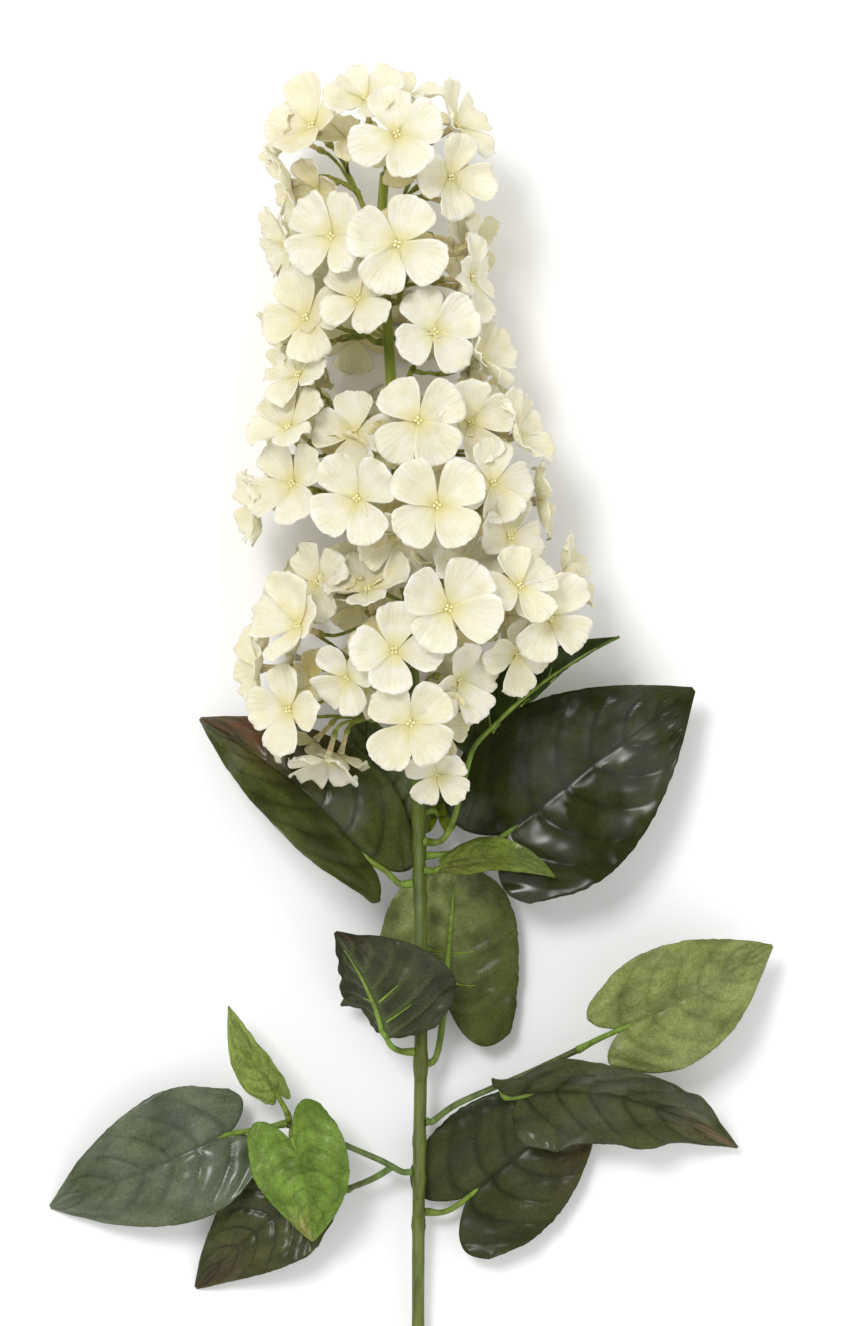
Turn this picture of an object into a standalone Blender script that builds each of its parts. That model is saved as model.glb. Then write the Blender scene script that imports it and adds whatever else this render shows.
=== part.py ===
# Lilac stem with a cream panicle, laid on a flat surface.
# The stem lies along +Y with the flower head at the +Y end, and +Z is up, away from the surface.
# Every table is in millimetres; the origin is on the surface, under the middle of the whole stem.

import math

import bmesh
import bpy
import numpy as np

MM = 0.001

STEM_COLOUR = (0.20, 0.27, 0.06)
LEAF_COLOUR = (0.07, 0.11, 0.04)
PETAL_COLOUR = (0.86, 0.82, 0.62)

# Stem: a straight green rod that leans up to carry the head clear of the surface.
STEM_RADIUS = 2.3
STEM_SIDES = 8
STEM_LINE = [
    (3.4, -262.0, 2.35),
    (3.3, -190.0, 8.0),
    (3.6, -140.0, 13.0),
    (4.2, -100.0, 18.0),
    (4.2, -60.0, 23.0),
    (3.6, -20.0, 28.0),
    (2.8, 15.0, 33.0),
    (-0.5, 75.0, 40.0),
    (-5.0, 125.0, 43.0),
    (-7.0, 160.0, 43.0),
    (-9.5, 205.0, 42.0),
    (-8.5, 226.0, 42.0),
]
CUT_SLANT = 1.8  # how far the slanting cut runs back along the stem

SEAT_GAP = 0.3  # between a piece and what carries it

# Floret: four petals round a small throat, on a slim tube.
PETAL_SPAN = 16.0  # throat to petal tip of a floret of size 1
PETAL_THICKNESS = 0.6
PETAL_CUP = 0.24  # rise of a petal tip, as a share of the span
TUBE_LENGTH = 12.5
TUBE_MOUTH_RADIUS = 1.9
TUBE_END_RADIUS = 1.1
TUBE_SIDES = 4
# One petal's outline from notch to notch: degrees off its middle line, and share of the span.
PETAL_OUTLINE = [(-45, 0.24), (-37, 0.66), (-17, 0.97), (17, 0.97), (37, 0.66)]
PETAL_CROWN = 0.60  # where the middle of the petal lies, as a share of the span

TWIG_RADIUS = 1.1
STALK_RADIUS = 0.75
FORK_SHARE = 0.45  # how far out along a spray its stalks part

# Sprays seen from above. Each has the place on the stem where it leaves, and its florets as
# (x, y, z, yaw, lift, spin, size): yaw 0 looks up at +Z, 90 along +X and -90 along -X, lift is towards +Y.
SPRAYS = {
    "spray_tip": (224, [(-4, 233, 77, 0, 12, 20, 1.12), (-1, 250, 50, 8, 68, 0, 0.95),
                        (-15, 248, 66, -12, 45, 40, 0.98)]),
    "spray_top_left": (208, [(-33, 240, 55, -40, 28, 10, 1.05), (-43, 219, 50, -82, -4, 30, 0.98),
                             (-42, 238, 40, -80, 18, 0, 0.92)]),
    "spray_top_right": (207, [(17, 239, 56, 56, 26, 30, 0.98), (14, 221, 66, 36, 2, 0, 0.98),
                              (18, 213, 48, 82, -10, 45, 0.98)]),
    "spray_high_left": (180, [(-27, 199, 67, -26, 4, 45, 1.08), (-42, 197, 50, -72, -8, 20, 1.0),
                              (-41, 184, 33, -95, -12, 0, 0.92)]),
    "spray_high_right": (178, [(-4, 195, 79, 4, -4, 65, 1.16), (21, 186, 56, 74, 4, 10, 1.0),
                               (22, 196, 39, 88, 10, 45, 0.92)]),
    "spray_upper_left": (164, [(-36, 171, 62, -30, 2, 15, 1.08), (-42, 163, 40, -84, -2, 45, 0.98),
                               (-18, 176, 72, -12, 22, 40, 0.95)]),
    "spray_upper_right": (148, [(9, 165, 71, 14, 4, 30, 1.05), (25, 157, 54, 66, 24, 0, 1.0),
                                (24, 168, 33, 92, 0, 20, 0.95)]),
    "spray_mid_left": (132, [(-38, 151, 56, -52, 30, 0, 0.95), (-42, 131, 63, -35, 44, 40, 1.0),
                             (-39, 142, 37, -92, 6, 20, 0.95)]),
    "spray_mid_front": (122, [(3, 133, 76, 4, 4, 40, 1.12), (-19, 130, 65, -18, 8, 0, 1.0)]),
    "spray_mid_right": (121, [(22, 134, 67, 26, 12, 15, 0.98), (37, 129, 56, 52, 16, 40, 0.98),
                              (28, 141, 48, 55, 45, 0, 0.9)]),
    "spray_wide_left": (102, [(-41, 113, 62, -34, 2, 20, 1.05), (-53, 104, 46, -76, -6, 45, 0.98),
                              (-47, 122, 38, -88, 10, 0, 0.95)]),
    "spray_wide_front": (92, [(-18, 107, 74, -14, 0, 35, 1.08), (-3, 93, 67, 0, -30, 0, 0.98)]),
    "spray_wide_right": (90, [(10, 103.5, 82, 0, 2, 45, 1.14), (30, 112, 68, 22, 2, 10, 1.0),
                              (46, 107, 43, 84, 6, 40, 1.0)]),
    "spray_low_right": (66, [(14, 67, 80, 6, 0, 65, 1.14), (20, 84, 70, 22, 24, 20, 0.95),
                             (35, 93, 62, 34, 10, 0, 0.98)]),
    "spray_outer_right": (58, [(50, 65, 66, 26, 0, 55, 1.06), (38, 75, 73, 22, 10, 20, 0.96),
                               (38, 52, 60, 30, -24, 0, 0.95), (55, 80, 44, 78, 14, 30, 0.95)]),
    "spray_low_left": (64, [(-14, 75, 66, -10, 34, 10, 1.02), (-32, 76, 58, -38, 34, 40, 0.98),
                            (-38, 62, 65, -36, 14, 0, 1.05)]),
    "spray_bottom_front": (48, [(-5, 53, 80, 0, 4, 0, 1.08), (-22, 43, 72, -20, -14, 30, 0.86)]),
    "spray_outer_left": (40, [(-52, 47, 48, -74, 2, 20, 1.0), (-42, 33, 64, -26, -4, 0, 1.0),
                              (-51, 62, 36, -88, 12, 45, 0.95)]),
    "spray_bottom_left": (30, [(-29, 14, 52, -30, -62, 20, 0.9), (-49, 26, 37, -80, -14, 30, 0.92)]),
    "spray_bottom_right": (32, [(1, 28, 78, 2, -4, 45, 1.1), (18, 42, 68, 42, -10, 20, 0.98),
                                (10, 9, 66, 8, -30, 60, 0.78)]),
}

# Sprays under the head: rows across it, with their florets pressed flat on the surface or turned out low.
UNDER_FIRST_ROW = 44.0
UNDER_ROW_STEP = 32.0
UNDER_ROWS = 6
UNDER_EVEN = (-0.36, 0.36)  # offsets across the head, as shares of its half width
UNDER_ODD = (-0.78, 0.0, 0.78)
HEAD_HALF_WIDTH = [(20.0, 44.0), (100.0, 45.0), (150.0, 36.0), (235.0, 30.0)]
UNDER_EDGE_RISE = 17.0  # how far the outer florets of a row lie above the surface
UNDER_TURN = 52.0  # degrees that they are turned out sideways
UNDER_SIZE = 0.95
UNDER_SEED = 11

# Clearing: each floret is pushed and tipped until its petals and stalk clear those of its neighbours.
CLEAR_STEPS = 150
CLEAR_PUSH = 0.24
CLEAR_TIP = 0.022
CLEAR_HOLD = 0.012
CLEAR_REACH = 46.0  # florets further apart than this can't touch
# Balls of room on a petal: degrees off its middle line, and share of the span.
PETAL_BALLS = [(0, 0.32), (0, 0.62), (-27, 0.68), (27, 0.68), (-12, 0.92), (12, 0.92)]
PETAL_BALL_RADIUS = 2.1
TUBE_BALLS = [3.0, 8.0]  # how far behind the throat
TUBE_BALL_RADIUS = 1.8
STALK_BALLS = [0.25, 0.5, 0.75]  # shares of the way from the tube to the fork
STALK_BALL_RADIUS = 1.5
STEM_ROOM = 3.6
SURFACE_ROOM = 1.0

# Leaves: what carries them; base, middle and tip of the midrib; the way the upper face looks at base and tip
# as (yaw, lift); full width; fold of the left and right half out of the flat in degrees; how far the lobes
# reach back past the base; and points on the leaf's stalk.
LEAVES = {
    "leaf_upper_right": dict(
        on="stem", stalk=[(14, -21, 24), (26, -19, 22)], base=(35, -14, 22), mid=(68, 12, 24),
        tip=(104, 39, 20),
        face=[(-4, 4), (8, -6)], width=70, fold=(0, 9), lobe=0.14),
    "leaf_upper_folded": dict(
        on="stem", stalk=[(13, -16, 34), (18, -2, 40)], base=(22, 16, 45), mid=(44, 43, 46),
        tip=(72, 60, 36),
        face=[(201, 11), (201, 11)], width=34, fold=(80, 72), lobe=0.03),
    "leaf_upper_left": dict(
        on="stem", stalk=[(-4, -32, 26.5), (-8, -27, 26)], base=(-14, -24, 26), mid=(-42, 5, 27),
        tip=(-77, 28, 8),
        face=[(18, 20), (12, 16)], width=50, fold=(26, 20), lobe=0.13),
    "leaf_behind_left": dict(
        on="stem", stalk=[(2.8, -15, 20)], base=(-5, -14, 18), mid=(-12, 8, 18), tip=(-19, 32, 15),
        face=[(0, 0), (-10, 0)], width=34, fold=(6, 6), lobe=0.12),
    "leaf_behind_right": dict(
        on="stem", stalk=[(9.5, -5, 20)], base=(10.5, -8, 14), mid=(10, 8, 14), tip=(8, 28, 15),
        face=[(8, 0), (8, 0)], width=20, fold=(4, 4), lobe=0.16),
    "leaf_small_right": dict(
        on="stem", stalk=[(9, -27, 30)], base=(13, -25, 31), mid=(33, -21, 36), tip=(53, -29, 33),
        face=[(10, 50), (-10, 20)], width=16, fold=(8, 8), lobe=0.05),
    "leaf_centre_back": dict(
        on="stem", stalk=[(10, -97, 13), (12, -86, 11)], base=(13, -74, 10), mid=(15, -51, 9),
        tip=(17, -25, 16),
        face=[(182, 0), (182, -12)], width=54, fold=(0, 0), lobe=0.34),
    "leaf_front_curled": dict(
        on="stem", stalk=[(-4, -93, 22), (-7, -90, 29)], base=(-8, -87, 34), mid=(-14, -69, 37),
        tip=(-27, -49, 33),
        face=[(188, -6), (186, -16)], width=60, fold=(4, 80), lobe=0.04),
    "leaf_right_far": dict(
        on="shoot_right", stalk=[(69, -88, 27)], base=(78, -84, 27), mid=(106, -70, 27), tip=(133, -55, 17),
        face=[(-8, -12), (4, -8)], width=46, fold=(7, 7), lobe=0.16),
    "leaf_right_long": dict(
        on="shoot_right", stalk=[(35, -110, 22.6)], base=(40, -109.5, 24), mid=(78, -110, 26),
        tip=(121, -130, 7),
        face=[(2, -46), (4, -36)], width=42, fold=(6, 30), lobe=0.06),
    "leaf_right_low": dict(
        on="stem", stalk=[(14, -154, 9)], base=(22, -148, 8), mid=(46, -128, 8), tip=(72, -108, 6),
        face=[(0, 4), (4, 0)], width=54, fold=(3, 3), lobe=0.22),
    "leaf_left_far": dict(
        on="shoot_left", stalk=[(-54, -122.4, 16)], base=(-66, -124, 14), mid=(-98, -138, 15),
        tip=(-133, -153, 0.9),
        face=[(0, 2), (4, 2)], width=49, fold=(6, 6), lobe=0.12),
    "leaf_bright": dict(
        on="shoot_left", stalk=[(-42.8, -124, 23.5)], base=(-42, -126, 27), mid=(-37, -142, 29.5),
        tip=(-35, -162, 24), face=[(-6, 2), (6, -10)], width=36, fold=(6, 6), lobe=0.34),
    "leaf_small_upright": dict(
        on="shoot_left", stalk=[(-46.5, -112, 20)], base=(-49.5, -107, 21), mid=(-58, -94, 24),
        tip=(-66, -77, 19),
        face=[(-44, 10), (-54, 8)], width=17, fold=(20, 20), lobe=0.16),
    "leaf_left_low": dict(
        on="shoot_left", stalk=[(-30, -147, 12)], base=(-37, -148, 11), mid=(-57, -161, 10),
        tip=(-79, -183, 0.9),
        face=[(-6, 8), (-14, 6)], width=38, fold=(7, 7), lobe=0.12),
}
LEAF_THICKNESS = 0.7
LEAF_ROWS = 7
LEAF_COLUMNS = 4
LEAF_PROFILE = [(0.0, 0.62), (0.08, 0.78), (0.17, 0.93), (0.30, 1.0), (0.50, 0.88), (0.70, 0.62), (0.86, 0.33),
                (1.0, 0.03)]
LEAF_WAVE = 0.018  # height of the edge's waves, as a share of the leaf's length
STALK_END_RADIUS = 0.8
LEAF_STALK_RADIUS = 1.1

# Leafy side shoots: lines of (x, y, z); the first line leaves the stem and the others leave the first.
SHOOTS = {
    "shoot_left": [
        [(-3, -138, 14), (-10, -134, 15.5), (-22, -128.5, 17.5), (-34, -123, 19), (-44.5, -120.4, 18.0)],
        [(-6, -136.2, 14.5), (-13, -140.5, 14), (-21.6, -144.2, 13.4)],
    ],
    "shoot_right": [
        [(9, -119, 16.5), (17, -113, 18.5), (30, -106.8, 21), (44, -100.5, 24.5), (61, -92.2, 27)],
    ],
}
SHOOT_RADIUS = 1.25


def clear_scene():
    for item in list(bpy.data.objects):
        bpy.data.objects.remove(item, do_unlink=True)


def material(name, colour, roughness):
    made = bpy.data.materials.new(name)
    made.use_nodes = True
    shader = made.node_tree.nodes["Principled BSDF"]
    shader.inputs["Base Color"].default_value = (*colour, 1.0)
    shader.inputs["Roughness"].default_value = roughness
    shader.inputs["Metallic"].default_value = 0.0
    return made


def looking(yaw, lift):
    """The unit direction of a face turned yaw degrees sideways and lift degrees towards the tip of the stem."""
    side, up = math.radians(yaw), math.radians(lift)
    return np.array([math.sin(side) * math.cos(up), math.sin(up), math.cos(side) * math.cos(up)])


def unit(vector):
    vector = np.asarray(vector, float)
    return vector / np.linalg.norm(vector)


def smooth_line(points, steps):
    """Points on a Catmull-Rom curve through the given ones, steps to each span."""
    pts = np.array(points, float)
    ends = np.vstack([2 * pts[0] - pts[1], pts, 2 * pts[-1] - pts[-2]])
    line = []
    for i in range(1, len(ends) - 2):
        p0, p1, p2, p3 = ends[i - 1 : i + 3]
        for t in np.arange(steps) / steps:
            line.append(0.5 * (2 * p1 + (p2 - p0) * t + (2 * p0 - 5 * p1 + 4 * p2 - p3) * t**2
                               + (3 * p1 - p0 - 3 * p2 + p3) * t**3))
    line.append(pts[-1])
    return np.array(line)


STEM_CURVE = smooth_line(STEM_LINE, 2)


def stem_at(y):
    """The stem's centre where it passes y."""
    return np.array([np.interp(y, STEM_CURVE[:, 1], STEM_CURVE[:, axis]) for axis in range(3)])


def seat_on(line, radius, towards):
    """Where a side piece leaves a line, and its first way out: square to it, or straight on past its end."""
    line = np.asarray(line, float)
    fine = np.vstack([np.linspace(a, b, 12, endpoint=False) for a, b in zip(line, line[1:])] + [line[-1:]])
    towards = np.asarray(towards, float)
    nearest = np.linalg.norm(fine - towards, axis=1).argmin()
    before, after = fine[max(nearest - 1, 0)], fine[min(nearest + 1, len(fine) - 1)]
    ahead = unit(after - before)
    out = unit(towards - fine[nearest])
    if nearest == len(fine) - 1 and out @ ahead > 0.6:
        return fine[-1] + ahead * SEAT_GAP, ahead
    out = unit(out - ahead * (out @ ahead))
    return fine[nearest] + out * (radius + SEAT_GAP), out


def mesh_from(build, name):
    data = bpy.data.meshes.new(name)
    build.to_mesh(data)
    build.free()
    return data


def tube(line, radii, sides, name="tube"):
    """A closed tapered tube along a line, made as a bevelled curve."""
    curve = bpy.data.curves.new(name, "CURVE")
    curve.dimensions = "3D"
    curve.bevel_depth = MM
    curve.bevel_resolution = (sides - 4) // 2
    curve.use_fill_caps = True
    spline = curve.splines.new("POLY")
    spline.points.add(len(line) - 1)
    for point, place, radius in zip(spline.points, line, radii):
        point.co = (*(np.array(place) * MM), 1.0)
        point.radius = radius
    holder = bpy.data.objects.new(name, curve)
    bpy.context.scene.collection.objects.link(holder)
    bpy.context.view_layer.update()
    graph = bpy.context.evaluated_depsgraph_get()
    data = bpy.data.meshes.new_from_object(holder.evaluated_get(graph))
    bpy.data.objects.remove(holder, do_unlink=True)
    build = bmesh.new()
    build.from_mesh(data)
    bmesh.ops.remove_doubles(build, verts=build.verts, dist=1e-6)
    bmesh.ops.recalc_face_normals(build, faces=build.faces)
    return mesh_from(build, name)


def thick_sheet(points, triangles, thickness, name):
    """A closed blade: the sheet's triangles on both faces, split alike, with walls round its edge."""
    points = np.array(points, float)
    normals = np.zeros_like(points)
    for a, b, c in triangles:
        turn = np.cross(points[b] - points[a], points[c] - points[a])
        for corner in (a, b, c):
            normals[corner] += turn
    normals /= np.linalg.norm(normals, axis=1)[:, None]
    build = bmesh.new()
    upper = [build.verts.new((p + n * thickness / 2) * MM) for p, n in zip(points, normals)]
    lower = [build.verts.new((p - n * thickness / 2) * MM) for p, n in zip(points, normals)]
    edges = set()
    for a, b, c in triangles:
        build.faces.new((upper[a], upper[b], upper[c]))
        build.faces.new((lower[c], lower[b], lower[a]))
        edges |= {(a, b), (b, c), (c, a)}
    for a, b in sorted(edges):
        if (b, a) not in edges:
            build.faces.new((upper[a], lower[a], lower[b]))
            build.faces.new((upper[a], lower[b], upper[b]))
    return mesh_from(build, name)


def joined(name, meshes, finish):
    """One object from several closed meshes, by a Boolean union that is applied."""
    holder = bpy.data.objects.new(name, meshes[0])
    bpy.context.scene.collection.objects.link(holder)
    if len(meshes) > 1:
        group = bpy.data.collections.new(name + "_parts")
        bpy.context.scene.collection.children.link(group)
        for number, data in enumerate(meshes[1:]):
            group.objects.link(bpy.data.objects.new(f"{name}_part_{number}", data))
        union = holder.modifiers.new("union", "BOOLEAN")
        union.operation = "UNION"
        union.solver = "MANIFOLD"
        union.operand_type = "COLLECTION"
        union.collection = group
        bpy.context.view_layer.update()
        graph = bpy.context.evaluated_depsgraph_get()
        holder.data = bpy.data.meshes.new_from_object(holder.evaluated_get(graph))
        holder.modifiers.clear()
        for item in list(group.objects):
            bpy.data.objects.remove(item, do_unlink=True)
        bpy.data.collections.remove(group)
    holder.data.name = name
    holder.data.materials.clear()
    holder.data.materials.append(finish)
    holder.data.shade_smooth()
    holder.data.set_sharp_from_angle(angle=math.radians(40))
    return holder


class Floret:
    """A floret's place, the way it looks, its spin about that line and its size."""

    def __init__(self, place, facing, spin, size, under=False):
        self.place = np.array(place, float)
        self.home = self.place.copy()
        self.facing = unit(facing)
        self.size = size
        self.under = under
        across = np.cross([0.0, 1.0, 0.0], self.facing)
        if np.linalg.norm(across) < 0.2:
            across = np.array([1.0, 0.0, 0.0])
        across = unit(across - self.facing * (across @ self.facing))
        along = np.cross(self.facing, across)
        turn = math.radians(spin)
        self.across = across * math.cos(turn) + along * math.sin(turn)

    @property
    def span(self):
        return PETAL_SPAN * self.size

    def at(self, angle, share):
        """A point of the open corolla: degrees round it, and share of the span out from the throat."""
        along = np.cross(self.facing, self.across)
        turn = math.radians(angle)
        out = self.across * math.cos(turn) + along * math.sin(turn)
        return self.place + out * share * self.span + self.facing * PETAL_CUP * self.span * share**1.6

    def tube_point(self, back):
        return self.place - self.facing * back * self.size

    def balls(self, fork):
        """Centres of the balls of room that the floret and its stalk need."""
        centres = [self.at(90 * k + off, share) for k in range(4) for off, share in PETAL_BALLS]
        centres += [self.tube_point(back) for back in TUBE_BALLS]
        end = self.tube_point(TUBE_LENGTH)
        centres += [end + (fork - end) * share for share in STALK_BALLS]
        return np.array(centres)

    def tip_over(self, turn):
        """Turns the floret by a small rotation vector."""
        self.facing = unit(self.facing + np.cross(turn, self.facing))
        across = self.across + np.cross(turn, self.across)
        self.across = unit(across - self.facing * (across @ self.facing))

    def lowest(self):
        return min(self.at(90 * k + off, share)[2] for k in range(4) for off, share in PETAL_OUTLINE)


def under_sprays():
    """Rows of florets on the underside of the head, by rule."""
    draw = np.random.default_rng(UNDER_SEED)
    ys, widths = zip(*HEAD_HALF_WIDTH)
    sprays = {}
    for row in range(UNDER_ROWS):
        y = UNDER_FIRST_ROW + UNDER_ROW_STEP * row
        half = np.interp(y, ys, widths)
        centre = stem_at(y)
        florets = []
        for share in UNDER_ODD if row % 2 else UNDER_EVEN:
            outer = abs(share) > 0.6
            jitter = draw.uniform(-1, 1, 4)
            place = (centre[0] + share * half, y + 3 * jitter[0], UNDER_EDGE_RISE if outer else 4.5)
            yaw = 180 - math.copysign(UNDER_TURN if outer else 8, share)
            facing = looking(yaw + 8 * jitter[1], 10 * jitter[2])
            florets.append(Floret(place, facing, 45 * jitter[3], UNDER_SIZE, under=not outer))
        sprays[f"spray_under_{row + 1}"] = (y - 12.0, florets)
    return sprays


def all_sprays():
    sprays = {}
    for name, (root, florets) in SPRAYS.items():
        made = []
        for x, y, z, yaw, lift, spin, size in florets:
            made.append(Floret((x, y, z), looking(yaw, lift), spin, size))
        sprays[name] = (root, made)
    sprays.update(under_sprays())
    return sprays


def fork_of(root, florets):
    """Where the stalks of a spray part."""
    start = stem_at(root)
    middle = np.mean([floret.tube_point(TUBE_LENGTH) for floret in florets], axis=0)
    return start + (middle - start) * FORK_SHARE


def near_pairs(florets, sprays):
    """Pairs of florets near enough to touch, and whether both are of one spray."""
    homes = np.array([floret.home for floret in florets])
    first, second = np.triu_indices(len(florets), 1)
    near = np.linalg.norm(homes[first] - homes[second], axis=1) < CLEAR_REACH
    first, second = first[near], second[near]
    return first, second, sprays[first] == sprays[second]


def limited(vectors, most):
    size = np.linalg.norm(vectors, axis=1)[:, None]
    return vectors * np.minimum(1.0, most / np.maximum(size, 1e-9))


def clear_neighbours(sprays):
    """Pushes and tips the florets until the room that each needs is its own."""
    florets = [floret for _, members in sprays.values() for floret in members]
    spray_of = np.repeat(np.arange(len(sprays)), [len(members) for _, members in sprays.values()])
    first, second, same = near_pairs(florets, spray_of)
    radii = np.array([PETAL_BALL_RADIUS] * 4 * len(PETAL_BALLS) + [TUBE_BALL_RADIUS] * len(TUBE_BALLS)
                     + [STALK_BALL_RADIUS] * len(STALK_BALLS))
    own = np.arange(len(radii)) < len(radii) - len(STALK_BALLS)
    counts = np.where(same[:, None, None], own[:, None] & own[None], True)
    need = radii[:, None] + radii[None]
    stem = np.array([stem_at(y) for y in np.arange(-20.0, 226.0, 4.0)])
    for number in range(CLEAR_STEPS):
        hold = CLEAR_HOLD * (1 - number / CLEAR_STEPS)
        forks = [fork_of(root, members) for root, members in sprays.values()]
        centres = np.array([floret.balls(forks[k]) for floret, k in zip(florets, spray_of)])
        gap = centres[first][:, :, None] - centres[second][:, None]
        distance = np.maximum(np.linalg.norm(gap, axis=3), 1e-6)
        depth = np.maximum(need - distance, 0.0) * counts
        force = gap * (depth / distance)[..., None] / 2
        on_ball = np.zeros_like(centres)
        np.add.at(on_ball, first, force.sum(axis=2))
        np.add.at(on_ball, second, -force.sum(axis=1))
        petals = centres[:, own]
        to_stem = petals[:, :, None] - stem
        reach = np.linalg.norm(to_stem, axis=3)
        short = np.maximum(radii[own][:, None] + STEM_ROOM - reach, 0.0)
        on_ball[:, own] += (to_stem * (short / reach)[..., None]).sum(axis=2) / 2
        middles = np.array([floret.place for floret in florets])
        push = limited(on_ball.sum(axis=1) * CLEAR_PUSH, 0.9)
        swing = np.cross(centres - middles[:, None], on_ball).sum(axis=1)
        turn = limited(swing * CLEAR_TIP / PETAL_SPAN, 0.05)
        for floret, step, twist in zip(florets, push, turn):
            floret.place = floret.place + step + (floret.home - floret.place) * hold
            floret.tip_over(twist)
            low = floret.lowest() - PETAL_THICKNESS / 2
            if floret.under:
                floret.place[2] -= low
            elif low < SURFACE_ROOM:
                floret.place[2] += SURFACE_ROOM - low


def corolla(floret):
    """The four petals as one thin closed blade."""
    points = [floret.at(0, 0)]
    triangles = []
    petal = len(PETAL_OUTLINE)
    for k in range(4):
        for off, share in PETAL_OUTLINE:
            points.append(floret.at(90 * k + off, share))
    crowns = len(points)
    for k in range(4):
        crown = floret.at(90 * k, PETAL_CROWN) - floret.facing * 0.05 * floret.span
        points.append(crown)
    rim = 4 * petal
    for k in range(4):
        middle = crowns + k
        first = 1 + k * petal
        ring = [first + i for i in range(petal)] + [1 + (k * petal + petal) % rim]
        for a, b in zip(ring, ring[1:]):
            triangles.append((middle, a, b))
        triangles.append((middle, ring[-1], 0))
        triangles.append((middle, 0, ring[0]))
    return thick_sheet(points, triangles, PETAL_THICKNESS, "corolla")


def spray(name, root, florets, finish):
    """Twig, stalks and florets of one spray, fused."""
    fork = fork_of(root, florets)
    start = stem_at(root)
    ahead = unit(stem_at(root + 2) - stem_at(root - 2))
    out = unit(fork - start - ahead * ((fork - start) @ ahead))
    seat = start + out * (STEM_RADIUS + SEAT_GAP)
    knee = seat + out * 2.5
    meshes = [tube([seat, knee, fork], [TWIG_RADIUS] * 3, 4)]
    for floret in florets:
        leave = fork + (knee - fork) * 0.12
        line = [leave, floret.tube_point(TUBE_LENGTH - 2.5)]
        meshes.append(tube(line, [STALK_RADIUS] * 2, 4))
        throat = [floret.tube_point(TUBE_LENGTH), floret.tube_point(-0.1)]
        meshes.append(tube(throat, [TUBE_END_RADIUS, TUBE_MOUTH_RADIUS], TUBE_SIDES))
        meshes.append(corolla(floret))
    return joined(name, meshes, finish)


def leaf_blade(plan):
    """A heart-shaped blade over a grid that runs from base to tip and from left edge to right edge."""
    base, mid, tip = (np.array(plan[key], float) for key in ("base", "mid", "tip"))
    bend = 2 * mid - (base + tip) / 2
    length = np.linalg.norm(mid - base) + np.linalg.norm(tip - mid)
    half = plan["width"] / 2
    shares, profile = zip(*LEAF_PROFILE)
    face_base, face_tip = looking(*plan["face"][0]), looking(*plan["face"][1])
    points = []
    for row in range(LEAF_ROWS + 1):
        t = row / LEAF_ROWS
        for column in range(LEAF_COLUMNS + 1):
            v = 2 * column / LEAF_COLUMNS - 1
            back = plan["lobe"] * (1 - t) ** 3 * math.sin(0.8 * math.pi * abs(v)) ** 0.8
            s = t - back
            inside = max(s, 0.0)
            centre = (1 - inside) ** 2 * base + 2 * inside * (1 - inside) * bend + inside**2 * tip
            along = unit(2 * (1 - inside) * (bend - base) + 2 * inside * (tip - bend))
            centre = centre + along * min(s, 0.0) * length
            face = face_base * (1 - inside) + face_tip * inside
            side = unit(np.cross(along, face))
            face = np.cross(side, along)
            fold = math.radians(plan["fold"][0] if v < 0 else plan["fold"][1])
            reach = abs(v) * half * np.interp(t, shares, profile)
            wave = LEAF_WAVE * length * abs(v) * math.sin(9 * t + (0 if v < 0 else 1.9)) * (1 - t)
            out = side * math.copysign(math.cos(fold), v) + face * math.sin(fold)
            points.append(centre + out * reach + face * wave)
    triangles = []
    across = LEAF_COLUMNS + 1
    for row in range(LEAF_ROWS):
        for column in range(LEAF_COLUMNS):
            a = row * across + column
            b, c, d = a + 1, a + across + 1, a + across
            triangles += [(a, b, c), (a, c, d)]
    return points, triangles


def leaf(name, plan, finish):
    """Blade, stalk and the start of the midrib, fused."""
    points, triangles = leaf_blade(plan)
    on_stem = plan["on"] == "stem"
    lines, radius = ([STEM_CURVE], STEM_RADIUS) if on_stem else (SHOOTS[plan["on"]], SHOOT_RADIUS)
    seats = [seat_on(line, radius, plan["stalk"][0]) for line in lines]
    seat, out = min(seats, key=lambda pair: np.linalg.norm(pair[0] - plan["stalk"][0]))
    base = np.array(plan["base"], float)
    mid = np.array(plan["mid"], float)
    line = np.array([seat, seat + out * 1.5, *plan["stalk"], base, base + (mid - base) * 0.3])
    radii = np.linspace(LEAF_STALK_RADIUS, STALK_END_RADIUS, len(line))
    return joined(name, [thick_sheet(points, triangles, LEAF_THICKNESS, name), tube(line, radii, 4)], finish)


def stem(finish):
    """The main stem, with its lower end cut on a slant."""
    made = tube(STEM_CURVE, [STEM_RADIUS] * len(STEM_CURVE), STEM_SIDES, "stem")
    low = STEM_CURVE[0][1] * MM
    for vertex in made.vertices:
        if vertex.co.y < low + 1e-5:
            vertex.co.y += (vertex.co.z / MM / STEM_RADIUS - 1) * CUT_SLANT * MM
    return joined("stem", [made], finish)


def shoot(name, lines, finish):
    meshes = []
    for number, line in enumerate(lines):
        if number == 0:
            seat, out = seat_on(STEM_CURVE, STEM_RADIUS, line[0])
            line = [seat, seat + out * 1.5, *line]
        meshes.append(tube(line, np.linspace(SHOOT_RADIUS, SHOOT_RADIUS * 0.9, len(line)), 6))
    return joined(name, meshes, finish)


def main():
    clear_scene()
    green_wood = material("stem_green", STEM_COLOUR, 0.5)
    leaf_green = material("leaf_green", LEAF_COLOUR, 0.45)
    cream = material("petal_cream", PETAL_COLOUR, 0.6)
    stem(green_wood)
    for name, lines in SHOOTS.items():
        shoot(name, lines, green_wood)
    for name, plan in LEAVES.items():
        leaf(name, plan, leaf_green)
    sprays = all_sprays()
    clear_neighbours(sprays)
    for name, (root, florets) in sprays.items():
        spray(name, root, florets, cream)


main()
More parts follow.
